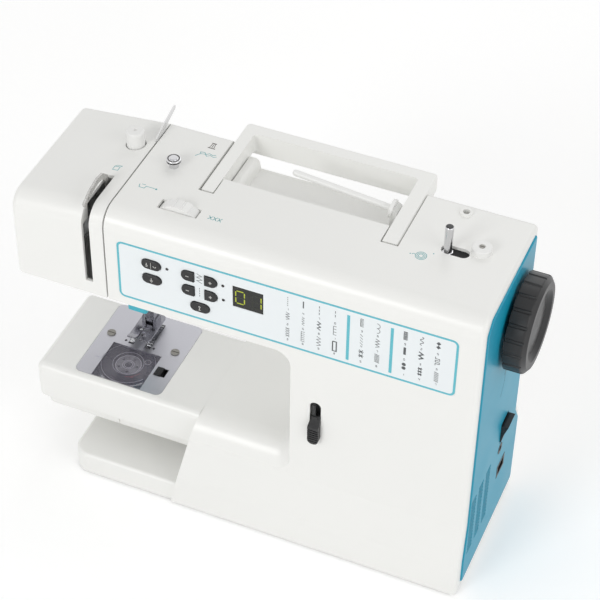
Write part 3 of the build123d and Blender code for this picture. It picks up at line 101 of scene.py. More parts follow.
def noise(tree, place, scale, detail, stretch=None):
    node = tree.nodes.new("ShaderNodeTexNoise")
    node.inputs["Scale"].default_value = scale
    node.inputs["Detail"].default_value = detail
    if stretch:
        mapping = tree.nodes.new("ShaderNodeMapping")
        mapping.inputs["Scale"].default_value = stretch
        tree.links.new(place, mapping.inputs["Vector"])
        place = mapping.outputs["Vector"]
    tree.links.new(place, node.inputs["Vector"])
    return node.outputs["Fac"]


def ramp(tree, value, low, high, start=0.2, end=0.8):
    node = tree.nodes.new("ShaderNodeValToRGB")
    node.color_ramp.elements[0].position = start
    node.color_ramp.elements[0].color = low
    node.color_ramp.elements[1].position = end
    node.color_ramp.elements[1].color = high
    tree.links.new(value, node.inputs["Fac"])
    return node.outputs["Color"]


def spread(tree, value, low, high, start=0.1, end=0.9):
    node = tree.nodes.new("ShaderNodeMapRange")
    node.inputs["From Min"].default_value = start
    node.inputs["From Max"].default_value = end
    node.inputs["To Min"].default_value = low
    node.inputs["To Max"].default_value = high
    tree.links.new(value, node.inputs["Value"])
    return node.outputs["Result"]


def bump(tree, shader, height, depth):
    node = tree.nodes.new("ShaderNodeBump")
    node.inputs["Strength"].default_value = 1.0
    node.inputs["Distance"].default_value = depth
    tree.links.new(height, node.inputs["Height"])
    tree.links.new(node.outputs["Normal"], shader.inputs["Normal"])


def tinted(tree, shader, value, low, high):
    """Lets the shader's colour drift between two tones with the value."""
    tree.links.new(ramp(tree, value, low, high), shader.inputs["Base Color"])


def roughened(tree, shader, value, low, high):
    """Lets the shader's roughness drift between two levels with the value."""
    tree.links.new(spread(tree, value, low, high), shader.inputs["Roughness"])


def plastic(
    name, colour, roughness, depth=FINE_RELIEF, mottle=0.03, coat=0.0, vary=0.03, gloss_level=0.5
):
    """Moulded plastic: faint colour drift, uneven gloss and a fine spark-eroded grain."""
    mat, tree, shader, place = new_material(name)
    drift = noise(tree, place, DRIFT_SCALE, 2)
    tinted(tree, shader, drift, shade(colour, 1 - mottle), colour)
    gloss = noise(tree, place, GLOSS_SCALE, 1)
    roughened(tree, shader, gloss, roughness - vary, roughness + vary)
    bump(tree, shader, noise(tree, place, GRAIN_SCALE, 1), depth)
    shader.inputs["Specular IOR Level"].default_value = gloss_level
    shader.inputs["Coat Weight"].default_value = coat
    shader.inputs["Coat Roughness"].default_value = COAT_ROUGHNESS
    return mat


def metal(name, colour, roughness, stretch, scale, depth=FINE_RELIEF, mottle=0.12):
    """Machined metal: stretched grinding marks in colour, gloss and relief."""
    mat, tree, shader, place = new_material(name)
    shader.inputs["Metallic"].default_value = 1.0
    marks = noise(tree, place, scale, 3, stretch)
    tinted(tree, shader, marks, shade(colour, 1 - mottle), colour)
    roughened(tree, shader, marks, roughness - METAL_VARY, roughness + METAL_VARY)
    bump(tree, shader, marks, depth)
    return mat


def tipped_metal(name, colour, tip, share):
    """Bright metal pin whose top, above the given share of its height, is dark plastic."""
    mat, tree, shader, place = new_material(name)
    height = tree.nodes.new("ShaderNodeSeparateXYZ")
    tree.links.new(place.node.outputs["Generated"], height.inputs["Vector"])
    level = height.outputs["Z"]
    tint = ramp(tree, level, colour, tip, share, share + TIP_EDGE)
    tree.links.new(tint, shader.inputs["Base Color"])
    bare = spread(tree, level, 1.0, 0.0, share, share + TIP_EDGE)
    tree.links.new(bare, shader.inputs["Metallic"])
    roughened(tree, shader, noise(tree, place, PIN_SCALE, 2), *PIN_ROUGHNESS)
    return mat


def clear_plastic(name, colour, roughness, alpha):
    """See-through moulding: slightly uneven tint and gloss."""
    mat, tree, shader, place = new_material(name)
    haze = noise(tree, place, HAZE_SCALE, 2)
    tinted(tree, shader, haze, shade(colour, HAZE_TONE), colour)
    roughened(tree, shader, haze, roughness, roughness + HAZE_VARY)
    shader.inputs["Alpha"].default_value = alpha
    shader.inputs["Coat Weight"].default_value = 1.0
    shader.inputs["Coat Roughness"].default_value = CLEAR_COAT_ROUGHNESS
    return mat


def ink(name, colour):
    """Screen-printed ink: slightly uneven cover."""
    mat, tree, shader, place = new_material(name)
    cover = noise(tree, place, INK_SCALE, 2)
    tinted(tree, shader, cover, shade(colour, INK_TONE), colour)
    roughened(tree, shader, cover, INK_ROUGHNESS - INK_VARY, INK_ROUGHNESS + INK_VARY)
    return mat


def glow(name, colour, strength):
    """Lit display segment with slightly uneven light."""
    mat, tree, shader, place = new_material(name)
    uneven = noise(tree, place, GLOW_SCALE, 1)
    tint = ramp(tree, uneven, shade(colour, GLOW_TONE), colour)
    tree.links.new(tint, shader.inputs["Base Color"])
    tree.links.new(tint, shader.inputs["Emission Color"])
    shader.inputs["Emission Strength"].default_value = strength
    return mat


shell = plastic(
    "shell_plastic", srgb(240, 240, 237), 0.32, mottle=0.012, coat=0.1, vary=0.015
)
handle_plastic = plastic("handle_plastic", srgb(243, 243, 240), 0.38, mottle=0.012, vary=0.015)
small_white = plastic("small_white_plastic", srgb(238, 238, 236), 0.30, mottle=0.02)
panel_film = plastic("panel_film", srgb(235, 240, 242), 0.34, mottle=0.012)
teal = plastic("teal_plastic", srgb(20, 152, 182), 0.36, mottle=0.04, gloss_level=0.3)
teal_tab = plastic("teal_tab_plastic", srgb(70, 184, 202), 0.35, mottle=0.05)
black = plastic("black_plastic", srgb(24, 24, 26), 0.38, depth=0.00001, mottle=0.25)
key_plastic = plastic("key_plastic", srgb(20, 20, 22), 0.28, mottle=0.2)
# Near-black for the winder carrier: painted shade for the dark inside of the winder slot
painted_cavity_shade = plastic("painted_shade_interior", srgb(17, 17, 18), 0.7, depth=0.00002, mottle=0.2)
case_plastic = plastic("bobbin_case_plastic", srgb(38, 36, 44), 0.3, mottle=0.3)
rubber = plastic("rubber", srgb(36, 36, 36), 0.75, depth=0.00004, mottle=0.25)
board_green = plastic("circuit_board", srgb(28, 84, 52), 0.45, mottle=0.25)
motor_paint = plastic("motor_paint", srgb(66, 68, 72), 0.45, mottle=0.15)
bobbin_plastic = clear_plastic("bobbin_plastic", srgb(198, 196, 204), 0.12, 0.45)
plate_steel = metal("plate_steel", srgb(190, 190, 196), 0.40, (1, 14, 1), 260, mottle=0.06)
bar_steel = metal("bar_steel", srgb(205, 206, 208), 0.24, (1, 1, 12), 500)
screw_steel = metal("screw_steel", srgb(150, 148, 143), 0.34, (1, 1, 1), 1500, mottle=0.3)
lever_steel = metal("lever_steel", srgb(224, 223, 220), 0.46, (1, 1, 1), 1400, 0.00002, 0.6)
leaf_steel = metal("leaf_steel", srgb(226, 226, 226), 0.40, (1, 6, 1), 500, mottle=0.06)
foot_steel = metal("foot_steel", srgb(150, 150, 156), 0.2, (1, 1, 6), 300, 0.000001, 0.1)
chrome = metal("chrome", srgb(218, 218, 220), 0.12, (1, 1, 6), 300, 0.000001, 0.05)
cast_metal = metal("cast_aluminium", srgb(168, 170, 172), 0.5, (1, 1, 1), 1100, 0.00004, 0.2)
spindle_steel = tipped_metal("spindle_steel", srgb(216, 216, 218), srgb(28, 28, 30), 0.985)
smoke = clear_plastic("smoke_plastic", srgb(150, 147, 162), 0.05, 0.22)
lens_plastic = clear_plastic("lens_plastic", srgb(245, 246, 248), 0.45, 0.75)
display_film = plastic("display_film", srgb(22, 24, 18), 0.22, mottle=0.2)
led_lens = plastic("led_lens", srgb(50, 44, 46), 0.25, mottle=0.2)
ink_teal = ink("teal_ink", srgb(98, 193, 208))
ink_icon = ink("icon_ink", srgb(96, 172, 176))
ink_spool = ink("spool_ink", srgb(104, 100, 96))
ink_chart = ink("chart_ink", srgb(84, 88, 90))
ink_key = ink("key_ink", srgb(200, 200, 196))
ink_side = ink("side_ink", srgb(16, 104, 130))
# Light tone for the rings on the bobbin and its case: painted highlights on their edges
edge_highlight_paint = ink("painted_case_highlight", srgb(222, 218, 230))
ink_red = ink("red_ink", srgb(150, 62, 66))
# Dark tone for the winder guide's groove and the stop screw's slot: painted shade in them
slot_shade_paint = ink("painted_slot_shade", srgb(60, 58, 56))
segment_glow = glow("display_segment", srgb(170, 180, 46), 0.3)
segment_dim = ink("display_segment_off", srgb(34, 38, 24))

FINISHES = {
    shell: ("front_cover", "rear_cover", "head_cover", "base_pan", "free_arm"),
    handle_plastic: ("handle",),
    small_white: ("tension_dial", "pressure_knob", "spool_pin", "winder_stop"),
    teal: ("side_cover",),
    teal_tab: ("needle_threader",),
    rubber: ("rubber_feet", "motor_belt", "timing_belt"),
    plate_steel: ("needle_plate",),
    screw_steel: ("plate_screws", "cover_screws", "handle_pins"),
    bar_steel: (
        "feed_dog",
        "presser_bar",
        "needle_bar",
        "rotary_hook",
        "main_shaft",
        "crank_disc",
        "lower_shaft",
        "tension_unit",
        "motor_pulley",
    ),
    chrome: ("needle", "winder_guide"),
    foot_steel: ("presser_foot", "presser_ankle"),
    spindle_steel: ("winder_spindle",),
    lever_steel: ("take_up_lever",),
    leaf_steel: ("rear_thread_guide",),
    cast_metal: ("chassis", "shaft_pulleys"),
    panel_film: ("panel_overlay",),
    display_film: ("display_module",),
    led_lens: ("indicator_leds",),
    board_green: ("control_board",),
    smoke: ("bobbin_cover",),
    lens_plastic: ("lamp_lens",),
    bobbin_plastic: ("bobbin",),
    motor_paint: ("motor",),
    case_plastic: ("bobbin_case",),
    # the winder carrier carries painted shade for the inside of the winder slot
    painted_cavity_shade: ("winder_carrier",),
    black: (
        "cover_latch",
        "reverse_lever",
        "handwheel",
        "power_switch",
        "socket_block",
        "presser_lifter",
    ),
    key_plastic: tuple(name for name in NODES if name.endswith("_key")),
}
for finish, names in FINISHES.items():
    for name in names:
        NODES[name].data.materials.clear()
        NODES[name].data.materials.append(finish)


# Printed marks: thin closed plates on a flat face


class Print:
    """Gathers flat marks on one face, given by an origin and two directions on it."""

    SINK = 0.02
    MITRE_LIMIT = 0.35

    def __init__(self, origin, across, up, body=ROOT, thick=0.05):
        self.origin = Vector(origin)
        self.across = Vector(across).normalized()
        self.up = Vector(up).normalized()
        self.out = self.across.cross(self.up)
        self.body = body
        self.thick = thick
        self.mesh = bmesh.new()

    def vertex(self, point, lift):
        spot = self.origin + self.across * point[0] + self.up * point[1] + self.out * lift
        return self.mesh.verts.new(spot * MM)

    def ribbon(self, path, width, closed=False):
        """A line of constant width along the path, mitred at its corners."""
        count = len(path)
        rows = []
        for index in range(count):
            here = Vector(path[index])
            ways = []
            if closed or index > 0:
                ways.append((here - Vector(path[index - 1])).normalized())
            if closed or index < count - 1:
                ways.append((Vector(path[(index + 1) % count]) - here).normalized())
            normals = [Vector((-way.y, way.x)) for way in ways]
            side = sum(normals, Vector((0, 0))).normalized()
            reach = width / 2 / max(side.dot(normals[0]), self.MITRE_LIMIT)
            left, right = here + side * reach, here - side * reach
            rows.append(
                [
                    self.vertex(left, self.thick),
                    self.vertex(right, self.thick),
                    self.vertex(right, -self.SINK),
                    self.vertex(left, -self.SINK),
                ]
            )
        for index in range(count if closed else count - 1):
            first, second = rows[index], rows[(index + 1) % count]
            for corner in range(4):
                following = (corner + 1) % 4
                self.mesh.faces.new(
                    (first[corner], first[following], second[following], second[corner])
                )
        if not closed:
            self.mesh.faces.new(rows[0][::-1])
            self.mesh.faces.new(rows[-1])

    def fill(self, outline):
        """A filled shape with the given corners."""
        top = [self.vertex(point, self.thick) for point in outline]
        bottom = [self.vertex(point, -self.SINK) for point in outline]
        self.mesh.faces.new(top)
        self.mesh.faces.new(bottom[::-1])
        count = len(outline)
        for index in range(count):
            following = (index + 1) % count
            self.mesh.faces.new((top[index], bottom[index], bottom[following], top[following]))

    def ring(self, centre, radius, width, points=28):
        self.ribbon(circle(centre, radius, points), width, closed=True)

    def make(self, name, finish, slot):
        bmesh.ops.recalc_face_normals(self.mesh, faces=self.mesh.faces)
        data = bpy.data.meshes.new(name)
        self.mesh.to_mesh(data)
        self.mesh.free()
        data.materials.append(finish)
        piece = bpy.data.objects.new(name, data)
        bpy.context.scene.collection.objects.link(piece)
        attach(piece, self.body)


def circle(centre, radius, points, start=0.0, sweep=2 * pi):
    steps = points if sweep >= 2 * pi else points - 1
    angles = [start + sweep * index / steps for index in range(points)]
    return [(centre[0] + radius * cos(a), centre[1] + radius * sin(a)) for a in angles]


def rounded_box(low, high, radius, points=6):
    centres = (
        (high[0] - radius, high[1] - radius),
        (low[0] + radius, high[1] - radius),
        (low[0] + radius, low[1] + radius),
        (high[0] - radius, low[1] + radius),
    )
    outline = []
    for quarter, centre in enumerate(centres):
        outline += circle(centre, radius, points, quarter * pi / 2, pi / 2)
    return outline


def moved(path, by):
    return [(x + by[0], y + by[1]) for x, y in path]


# Seven-segment figures: a to f clockwise from the top, then the middle bar
SEGMENTS = {
    "a": ((0, 1), (1, 1)),
    "b": ((1, 1), (1, 0.5)),
    "c": ((1, 0.5), (1, 0)),
    "d": ((0, 0), (1, 0)),
    "e": ((0, 0.5), (0, 0)),
    "f": ((0, 1), (0, 0.5)),
    "g": ((0, 0.5), (1, 0.5)),
}
# the segments of 0 to 9
FIGURES = (
    "abcdef",
    "bc",
    "abged",
    "abgcd",
    "fgbc",
    "afgcd",
    "afgedc",
    "abc",
    "abcdefg",
    "abcdfg",
)


def figure(sheet, segments, corner, size, width, gap=0.0):
    """Draws the named segments with the figure's lower left corner at the given point."""
    for letter in segments:
        start, end = (Vector((x * size[0], y * size[1])) for x, y in SEGMENTS[letter])
        way = (end - start).normalized() * gap
        sheet.ribbon([Vector(corner) + start + way, Vector(corner) + end - way], width)


# Faces that carry prints
PANEL_LOW, PANEL_HIGH = corners("panel_overlay")
DISPLAY_FACE = corners("display_module")[0].y
SIDE_FACE = corners("side_cover")[1].x
HEAD_HIGH = corners("head_cover")[1]
TOP = HEAD_HIGH.z
# Marks on top and on the end are laid out from the arm's middle line, at this Y in the frame
MIDDLE_Y = -3.25


def front_print(face=PANEL_LOW.y):
    return Print((0, face, 0), (1, 0, 0), (0, 0, 1))


def top_print(centre):
    return Print((centre[0], centre[1] + MIDDLE_Y, TOP), (1, 0, 0), (0, 1, 0))


# Control panel: border, stitch chart and symbols
BORDER_W = 1.7
BORDER_R = 3.8
inset = Vector((BORDER_W / 2, 0, BORDER_W / 2))
low, high = PANEL_LOW + inset, PANEL_HIGH - inset
sheet = front_print()
sheet.ribbon(rounded_box((low.x, low.z), (high.x, high.z), BORDER_R), BORDER_W, closed=True)
sheet.make("panel_border", ink_teal, "teal")

CHART_TOP = 250.0
CHART_LOW = 207.5
BARS_X = (71.8, 103.5)
BAR_W = 2.2
sheet = front_print()
for x in BARS_X:
    sheet.ribbon([(x, CHART_TOP), (x, CHART_LOW)], BAR_W)
sheet.make("chart_bars", ink_teal, "teal")


# Stitch samples: paths that run down from their top, with the side offset first
DASH_SHARE = 0.62
CROSS_START = 0.1
CROSS_END = 0.9
STAR_WAIST = 0.7
WAVE_POINTS = 8


def dashes(count, length):
    step = length / count
    return [[(0, k * step), (0, (k + DASH_SHARE) * step)] for k in range(count)]


def zigzag(count, length, half):
    step = length / count
    return [[(half if k % 2 else -half, k * step) for k in range(count + 1)]]


def rungs(count, length, half, skew=0.0):
    step = length / (count - 1)
    return [[(-half, k * step), (half, k * step + skew)] for k in range(count)]


def comb(count, length, half):
    return [[(-half, 0), (-half, length)]] + rungs(count, length, half)


def scallops(count, length, half):
    radius = length / count / 2
    return [circle((-half, (2 * k + 1) * radius), radius, 7, -pi / 2, pi) for k in range(count)]


def crosses(count, length, half):
    step = length / count
    paths = []
    for k in range(count):
        near, far = (k + CROSS_START) * step, (k + CROSS_END) * step
        paths += [[(-half, near), (half, far)], [(half, near), (-half, far)]]
    return paths


def stars(count, length, half):
    step = length / count
    bars = [[(-half, (k + 0.5) * step), (half, (k + 0.5) * step)] for k in range(count)]
    return crosses(count, length, half * STAR_WAIST) + bars


def box(length, half):
    return [[(-half, 0), (half, 0), (half, length), (-half, length), (-half, 0)]]


def wave(turns, length, half):
    count = WAVE_POINTS * turns
    path = []
    for k in range(count + 1):
        path.append((half * sin(2 * pi * turns * k / count), length * k / count))
    return [path]


def meander(count, length, half):
    step = length / count
    path = []
    for k in range(count):
        edge = half if k % 2 else -half
        path += [(edge, k * step), (edge, (k + 1) * step)]
    return [path]


def spots(count, length, half, points):
    step = length / count
    return [circle((0, (k + 0.5) * step), half, points) for k in range(count)]


FILLED = 0.0
# Each column: its X, then three samples with their line width, from the top down
COLUMNS = (
    (26.9, (dashes(5, 9), 0.4), (zigzag(6, 7, 1.3), 0.4), (crosses(4, 9, 1.4), 0.35)),
    (38.5, (dashes(1, 10), 0.9), (zigzag(7, 8, 0.9), 0.3), (comb(6, 9, 1.3), 0.35)),
    (50.3, (dashes(3, 9), 0.5), (zigzag(5, 8, 1.2), 0.7), (zigzag(6, 9, 1.5), 0.4)),
    (62.1, (dashes(2, 7), 0.5), (comb(4, 8, 1.1), 0.4), (box(9, 1.4), 0.9)),
    (81.7, (comb(7, 7, 1.1), 0.45), (rungs(4, 8, 1.0, 1.8), 0.35), (stars(2, 8, 1.9), 0.55)),
    (93.4, (scallops(2, 9, 0.9), 0.4), (zigzag(6, 8, 1.4), 0.45), (rungs(7, 7, 1.8, 0.8), 0.5)),
    (113.1, (rungs(9, 7, 1.5), 0.6), (dashes(1, 11), 1.8), (spots(2, 7, 1.5, 14), FILLED)),
    (124.8, (wave(2, 8, 1.2), 0.5), (zigzag(4, 7, 1.5), 1.0), (stars(3, 8, 1.7), 0.6)),
    (
        136.7,
        (spots(2, 7, 1.7, 4), FILLED),
        (meander(5, 8, 1.5), 0.5),
        (rungs(6, 8, 1.6, 1.0), 0.6),
    ),
)
SAMPLE_STEP = 14.4
NUMBER_DROP = 12.2
NUMBER_SIZE = (0.9, 1.6)
NUMBER_W = 0.28
sheet = front_print()
number = 1
for x, *samples in COLUMNS:
    for row, (paths, width) in enumerate(samples):
        top = CHART_TOP - row * SAMPLE_STEP
        for path in paths:
            down = [(x + side, top - along) for side, along in path]
            if width == FILLED:
                sheet.fill(down)
            else:
                sheet.ribbon(down, width)
        number_at = (x - NUMBER_SIZE[0] / 2, top - NUMBER_DROP)
        figure(sheet, FIGURES[number % len(FIGURES)], number_at, NUMBER_SIZE, NUMBER_W)
        number += 1
sheet.make("stitch_chart", ink_chart, "black")

WIDTH_ROW = middle("width_minus_key").z
LENGTH_ROW = middle("length_minus_key").z
ICON_X = (middle("width_minus_key").x + middle("width_plus_key").x) / 2
ICON_W = 0.4
WIDTH_ICON_TOP = WIDTH_ROW + 4.0
LENGTH_ICON_TOP = LENGTH_ROW + 4.6
sheet = front_print()
for path in zigzag(5, 8.0, 2.0):
    sheet.ribbon([(ICON_X + side, WIDTH_ICON_TOP - along) for side, along in path], ICON_W)
for path in dashes(4, 9):
    sheet.ribbon([(ICON_X + side, LENGTH_ICON_TOP - along) for side, along in path], ICON_W)
sheet.make("setting_icons", ink_chart, "black")


# Key symbols, each riding on its own key
def key_print(name):
    centre = middle(name)
    return Print((centre.x, corners(name)[0].y, centre.z), (1, 0, 0), (0, 0, 1), name + "_body")


SIGN = 1.2
SIGN_W = 0.6
for name in ("width_minus_key", "length_minus_key", "width_plus_key", "length_plus_key"):
    sheet = key_print(name)
    sheet.ribbon([(-SIGN, 0), (SIGN, 0)], SIGN_W)
    if "plus" in name:
        sheet.ribbon([(0, SIGN_W / 2), (0, SIGN)], SIGN_W)
        sheet.ribbon([(0, -SIGN_W / 2), (0, -SIGN)], SIGN_W)
    sheet.make(name + "_sign", ink_key, "shell")

sheet = key_print("mode_key")
sheet.ribbon([(0, 2.8), (0, -2.8)], 0.3)
sheet.ribbon(circle((3.0, 0.2), 1.1, 9, pi, pi), 0.5)
sheet.ribbon([(-3.2, 1.6), (-3.2, -0.3)], 0.55)
sheet.ribbon([(-4.2, -0.6), (-2.2, -0.6)], 0.45)
sheet.ribbon([(-3.9, -1.7), (-2.5, -1.7)], 0.45)
sheet.make("mode_key_sign", ink_key, "shell")

sheet = key_print("needle_key")
sheet.ribbon([(0, 1.7), (0, -0.2)], 0.5)
sheet.ribbon([(-1.1, -0.5), (1.1, -0.5)], 0.45)
sheet.ring((0, -1.4), 0.55, 0.35, 12)
sheet.make("needle_key_sign", ink_key, "shell")

sheet = key_print("select_key")
sheet.ring((0, 1.1), 0.6, 0.4, 12)
sheet.ribbon([(0, 0.2), (0, -1.7)], 0.6)
sheet.ribbon([(-0.8, -1.9), (0.8, -1.9)], 0.4)
sheet.make("select_key_sign", ink_key, "shell")

# Display figures: lit segments over the faint unlit ones
FIGURE_LOW = 229.8
FIGURE_SIZE = (6.6, 11.4)
FIGURE_GAP = 0.7
LIT_W = 0.85
UNLIT_W = 0.8
# the left edge of each figure and its digit
SHOWN = ((-12.4, 0), (0.2, 1))
lit = front_print(DISPLAY_FACE)
unlit = front_print(DISPLAY_FACE)
for x, digit in SHOWN:
    on = FIGURES[digit]
    off = [letter for letter in SEGMENTS if letter not in on]
    figure(lit, on, (x, FIGURE_LOW), FIGURE_SIZE, LIT_W, FIGURE_GAP)
    figure(unlit, off, (x, FIGURE_LOW), FIGURE_SIZE, UNLIT_W, FIGURE_GAP)
lit.make("display_lit", segment_glow, "display")
unlit.make("display_unlit", segment_dim, "display")

# Marks on the top of the casing: centres and line widths
TENSION_AT = (-39.7, -35.1)
WINDER_AT = (104.4, -13.6)
THREAD_AT = (-97.2, -23.1)
SPOOL_AT = (-74.8, 37.7)
LOOP_AT = (-74.7, 26.0)
THIN = 0.4
MEDIUM = 0.45
BOLD = 0.5
HEAVY = 0.8

sheet = top_print(TENSION_AT)
for path in crosses(3, 10.5, 1.8):
    sheet.ribbon([(along - 5.2, side) for side, along in path], BOLD)
sheet.make("tension_mark", ink_icon, "teal")

sheet = top_print(WINDER_AT)
for radius in (3.9, 2.8, 1.7):
    sheet.ring((0, 0), radius, MEDIUM)
sheet.ribbon([(-3.9, 0.0), (-5.6, 0.4), (-6.4, -0.6)], THIN)
sheet.fill(circle((-7.6, -0.6), 0.5, 10))
sheet.fill(circle((7.2, 5.4), 0.5, 10))
sheet.make("winder_mark", ink_icon, "teal")

sheet = top_print(THREAD_AT)
sheet.ribbon([(-7, 1.4), (-6.2, -1.8), (-2.2, -1.8), (-1.6, 0.6), (5.0, 0.6)], MEDIUM)
sheet.ribbon([(-5.4, 1.8), (-2.6, 1.8)], THIN)
sheet.fill(circle((6.2, 0.4), 0.8, 12))
sheet.make("thread_mark", ink_icon, "teal")

sheet = top_print(SPOOL_AT)
sheet.ribbon([(-2.8, -2.9), (2.8, -2.9)], HEAVY)
sheet.ribbon([(-1.8, 2.8), (1.8, 2.8)], HEAVY)
for side in (-1, 0, 1):
    sheet.ribbon([(1.7 * side, -2.3), (1.1 * side, 2.3)], BOLD)
sheet.make("spool_mark", ink_spool, "black")

sheet = top_print(LOOP_AT)
loop_start = [(-7.4, -3.4), (-4.6, 0.2)]
loop_end = [(-5.4, 2.0), (-2.4, 2.6), (-0.6, 0.8), (1.4, 2.6), (4.4, 1.6), (6.4, 2.8)]
sheet.ribbon(loop_start + loop_end, MEDIUM)
sheet.ribbon(moved(loop_end, (1.2, -1.7)), THIN)
sheet.make("loop_mark", ink_icon, "teal")

# Small square mark on the sloping top of the head cover
HEAD_FALL = radians(5.83)
SQUARE_AT = (-128.0, -11.3)
fall = (HEAD_HIGH.x - SQUARE_AT[0]) * tan(HEAD_FALL)
square_origin = (SQUARE_AT[0], SQUARE_AT[1] + MIDDLE_Y, TOP - fall)
sheet = Print(square_origin, (cos(HEAD_FALL), 0, sin(HEAD_FALL)), (0, 1, 0))
sheet.ribbon([(-2.2, -2.2), (2.0, -2.2), (2.0, 1.8), (-2.2, 1.8)], MEDIUM, closed=True)
sheet.ribbon([(-2.2, 1.8), (-0.8, 3.2), (3.2, 3.2), (2.0, 1.8)], 0.35)
sheet.make("square_mark", ink_icon, "teal")

# Turning arrow on the end cover
ARROW_R = 24
ARROW_Z = 176
ARROW_W = 0.7
sheet = Print((SIDE_FACE, MIDDLE_Y - ARROW_R, ARROW_Z), (0, 1, 0), (0, 0, 1))
sheet.ribbon(circle((0, 0), ARROW_R, 12, radians(-46), radians(56)), ARROW_W)
sheet.ribbon([(20.6, 1.2), (23.4, 5.2), (26.0, 1.6)], ARROW_W)
sheet.make("turning_arrow", ink_side, "teal")

# Bobbin seen through its clear cover: painted highlights on the flange edges, on the case edges
# and around the case screw, and the thread mark
bobbin = middle("bobbin")
bobbin_top = corners("bobbin")[1].z
sheet = Print((bobbin.x, bobbin.y, bobbin_top), (1, 0, 0), (0, 1, 0), "bobbin_spool")
for radius, width in ((10.1, 0.5), (4.6, 0.4), (3.2, 0.4)):
    sheet.ring((0, 0), radius, width)
sheet.make("bobbin_edge_highlights", edge_highlight_paint, "clear_bobbin")

CASE_HEIGHT = 15.6
case_top = corners("bobbin_case")[0].z + CASE_HEIGHT
case_face = ((bobbin.x, bobbin.y, case_top), (1, 0, 0), (0, 1, 0))
# painted highlights on the case edges and around the case screw
sheet = Print(*case_face)
sheet.ring((13.5, 7), 2.4, 0.5, 18)
sheet.ring((0, 0), 12.2, 0.4, 36)
sheet.ring((0, 0), 21.2, 0.5, 44)
sheet.make("case_edge_highlights", edge_highlight_paint, "black")

sheet = Print(*case_face)
sheet.ribbon(circle((0, 0), 14.6, 10, radians(-75), radians(50)), ARROW_W)
sheet.fill([(8.0, -13.6), (10.6, -12.6), (8.6, -10.9)])
sheet.make("case_arrow", ink_red, "lamp")

# Painted shade in the groove on the head of the winder's thread guide: a dark ring
GUIDE_STUB = 0.8
GROOVE_R = 4.1
GROOVE_W = 0.9
guide = middle("winder_guide")
guide_face = corners("winder_guide")[1].z - GUIDE_STUB
sheet = Print((guide.x, guide.y, guide_face), (1, 0, 0), (0, 1, 0))
sheet.ring((0, 0), GROOVE_R, GROOVE_W)
sheet.make("guide_groove_shade", slot_shade_paint, "black")

# Slotted screw in the middle of the winder stop: two raised halves over a dark disc, painted
# shade in the slot
SCREW_R = 1.9
SCREW_SLOT = 0.7
SCREW_DEPTH = 0.2
SCREW_THICK = 0.15
SLOT_THICK = 0.02
stop = middle("winder_stop")
stop_top = corners("winder_stop")[1].z
stop_face = ((stop.x, stop.y, stop_top - SCREW_DEPTH), (1, 0, 0), (0, 1, 0))
sheet = Print(*stop_face, thick=SLOT_THICK)
sheet.fill(circle((0, 0), SCREW_R, 24))
sheet.make("stop_screw_slot_shade", slot_shade_paint, "black")
slot_angle = asin(SCREW_SLOT / 2 / SCREW_R)
sheet = Print(*stop_face, thick=SCREW_THICK)
for start in (slot_angle, pi + slot_angle):
    sheet.fill(circle((0, 0), SCREW_R, 14, start, pi - 2 * slot_angle))
sheet.make("stop_screw", screw_steel, "steel")

# Stage: pale floor, soft lights and the photograph's camera. The floor is lit a little from
# within, more so from the near reach out to the far one.
FLOOR_SIZE = 12.0
FLOOR_DROP = 0.0002
FLOOR_ROUGHNESS = 0.9
FLOOR_LIFT = 0.17
FAR_LIFT = 0.42
NEAR_REACH = 0.7
FAR_REACH = 2.6


def seen_rays(tree):
    """1 for rays from the camera, from reflections and through clear pieces."""
    path = tree.nodes.new("ShaderNodeLightPath")
    total = path.outputs["Is Camera Ray"]
    for kind in ("Is Glossy Ray", "Is Transmission Ray"):
        add = tree.nodes.new("ShaderNodeMath")
        add.operation = "MAXIMUM"
        tree.links.new(total, add.inputs[0])
        tree.links.new(path.outputs[kind], add.inputs[1])
        total = add.outputs["Value"]
    return total


def scaled(tree, value, factor, base):
    node = tree.nodes.new("ShaderNodeMath")
    node.operation = "MULTIPLY_ADD"
    node.inputs[1].default_value = factor
    node.inputs[2].default_value = base
    tree.links.new(value, node.inputs[0])
    return node.outputs["Value"]


def floor_material():
    mat, tree, shader, place = new_material("floor")
    drift = noise(tree, place, FLOOR_SCALE, 2)
    tinted(tree, shader, drift, srgb(250, 250, 249), srgb(252, 252, 252))
    shader.inputs["Roughness"].default_value = FLOOR_ROUGHNESS
    shader.inputs["Emission Color"].default_value = FULL_WHITE
    reach = tree.nodes.new("ShaderNodeVectorMath")
    reach.operation = "LENGTH"
    tree.links.new(place, reach.inputs[0])
    lift = spread(
        tree, reach.outputs["Value"], FLOOR_LIFT, FAR_LIFT, NEAR_REACH, FAR_REACH
    )
    seen = tree.nodes.new("ShaderNodeMath")
    seen.operation = "MULTIPLY"
    tree.links.new(lift, seen.inputs[0])
    tree.links.new(seen_rays(tree), seen.inputs[1])
    tree.links.new(seen.outputs["Value"], shader.inputs["Emission Strength"])
    return mat


bpy.ops.mesh.primitive_plane_add(size=FLOOR_SIZE, location=(0, 0, -FLOOR_DROP))
floor = bpy.context.object
floor.name = "floor"
floor.data.materials.append(floor_material())


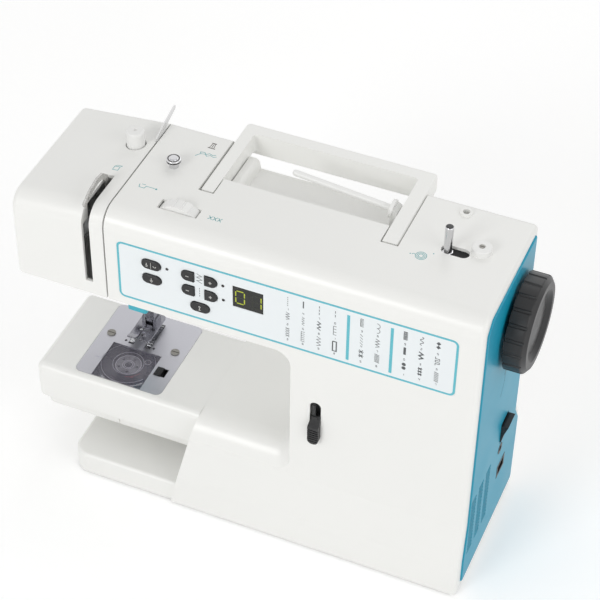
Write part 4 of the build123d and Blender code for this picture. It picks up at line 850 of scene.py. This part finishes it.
def area_light(name, place, target, size, power):
    data = bpy.data.lights.new(name, "AREA")
    data.energy = power
    data.size = size
    lamp = bpy.data.objects.new(name, data)
    lamp.location = place
    lamp.rotation_euler = (Vector(target) - Vector(place)).to_track_quat("-Z", "Y").to_euler()
    bpy.context.scene.collection.objects.link(lamp)


area_light("key", place=(-0.8, -2.2, 1.35), target=(0, 0, 0.12), size=0.9, power=17)
area_light("fill", place=(2.0, -0.7, 1.2), target=(0.05, 0, 0.15), size=1.6, power=10)
area_light("back", place=(0.2, 1.8, 1.6), target=(0, 0, 0.15), size=1.5, power=6)

WORLD_LIGHT = 0.64
world = bpy.data.worlds.new("studio")
bpy.context.scene.world = world
world.use_nodes = True
world_tree = world.node_tree
backdrop = world_tree.nodes["Background"]
backdrop.inputs["Color"].default_value = FULL_WHITE
strength = scaled(world_tree, seen_rays(world_tree), 1 - WORLD_LIGHT, WORLD_LIGHT)
world_tree.links.new(strength, backdrop.inputs["Strength"])

# Camera found from the straight edges in the photograph: its place in millimetres, the focal
# length in pixels, the sensor in the camera's own millimetres and the view's reach in metres
AZIMUTH = radians(22.268)
ELEVATION = radians(43.075)
ROLL = radians(0.948)
EYE = Vector((405.187, -967.057, 1161.691))
FOCAL_PIXELS = 1957.37
FRAME_PIXELS = 600
SENSOR = 36.0
VIEW_REACH = 20

level = cos(ELEVATION)
forward = Vector((-sin(AZIMUTH) * level, cos(AZIMUTH) * level, -sin(ELEVATION)))
right = Vector((cos(AZIMUTH), sin(AZIMUTH), 0))
upward = right.cross(forward)
right_rolled = right * cos(ROLL) + upward * sin(ROLL)
up_rolled = upward * cos(ROLL) - right * sin(ROLL)
camera_data = bpy.data.cameras.new("camera")
camera_data.sensor_width = SENSOR
camera_data.lens = SENSOR * FOCAL_PIXELS / FRAME_PIXELS
camera_data.clip_end = VIEW_REACH
camera = bpy.data.objects.new("camera", camera_data)
turn = Matrix((right_rolled, up_rolled, -forward)).transposed()
camera.matrix_world = Matrix.Translation(EYE * MM) @ turn.to_4x4()
bpy.context.scene.collection.objects.link(camera)
bpy.context.scene.camera = camera
bpy.context.scene.view_settings.view_transform = "Standard"
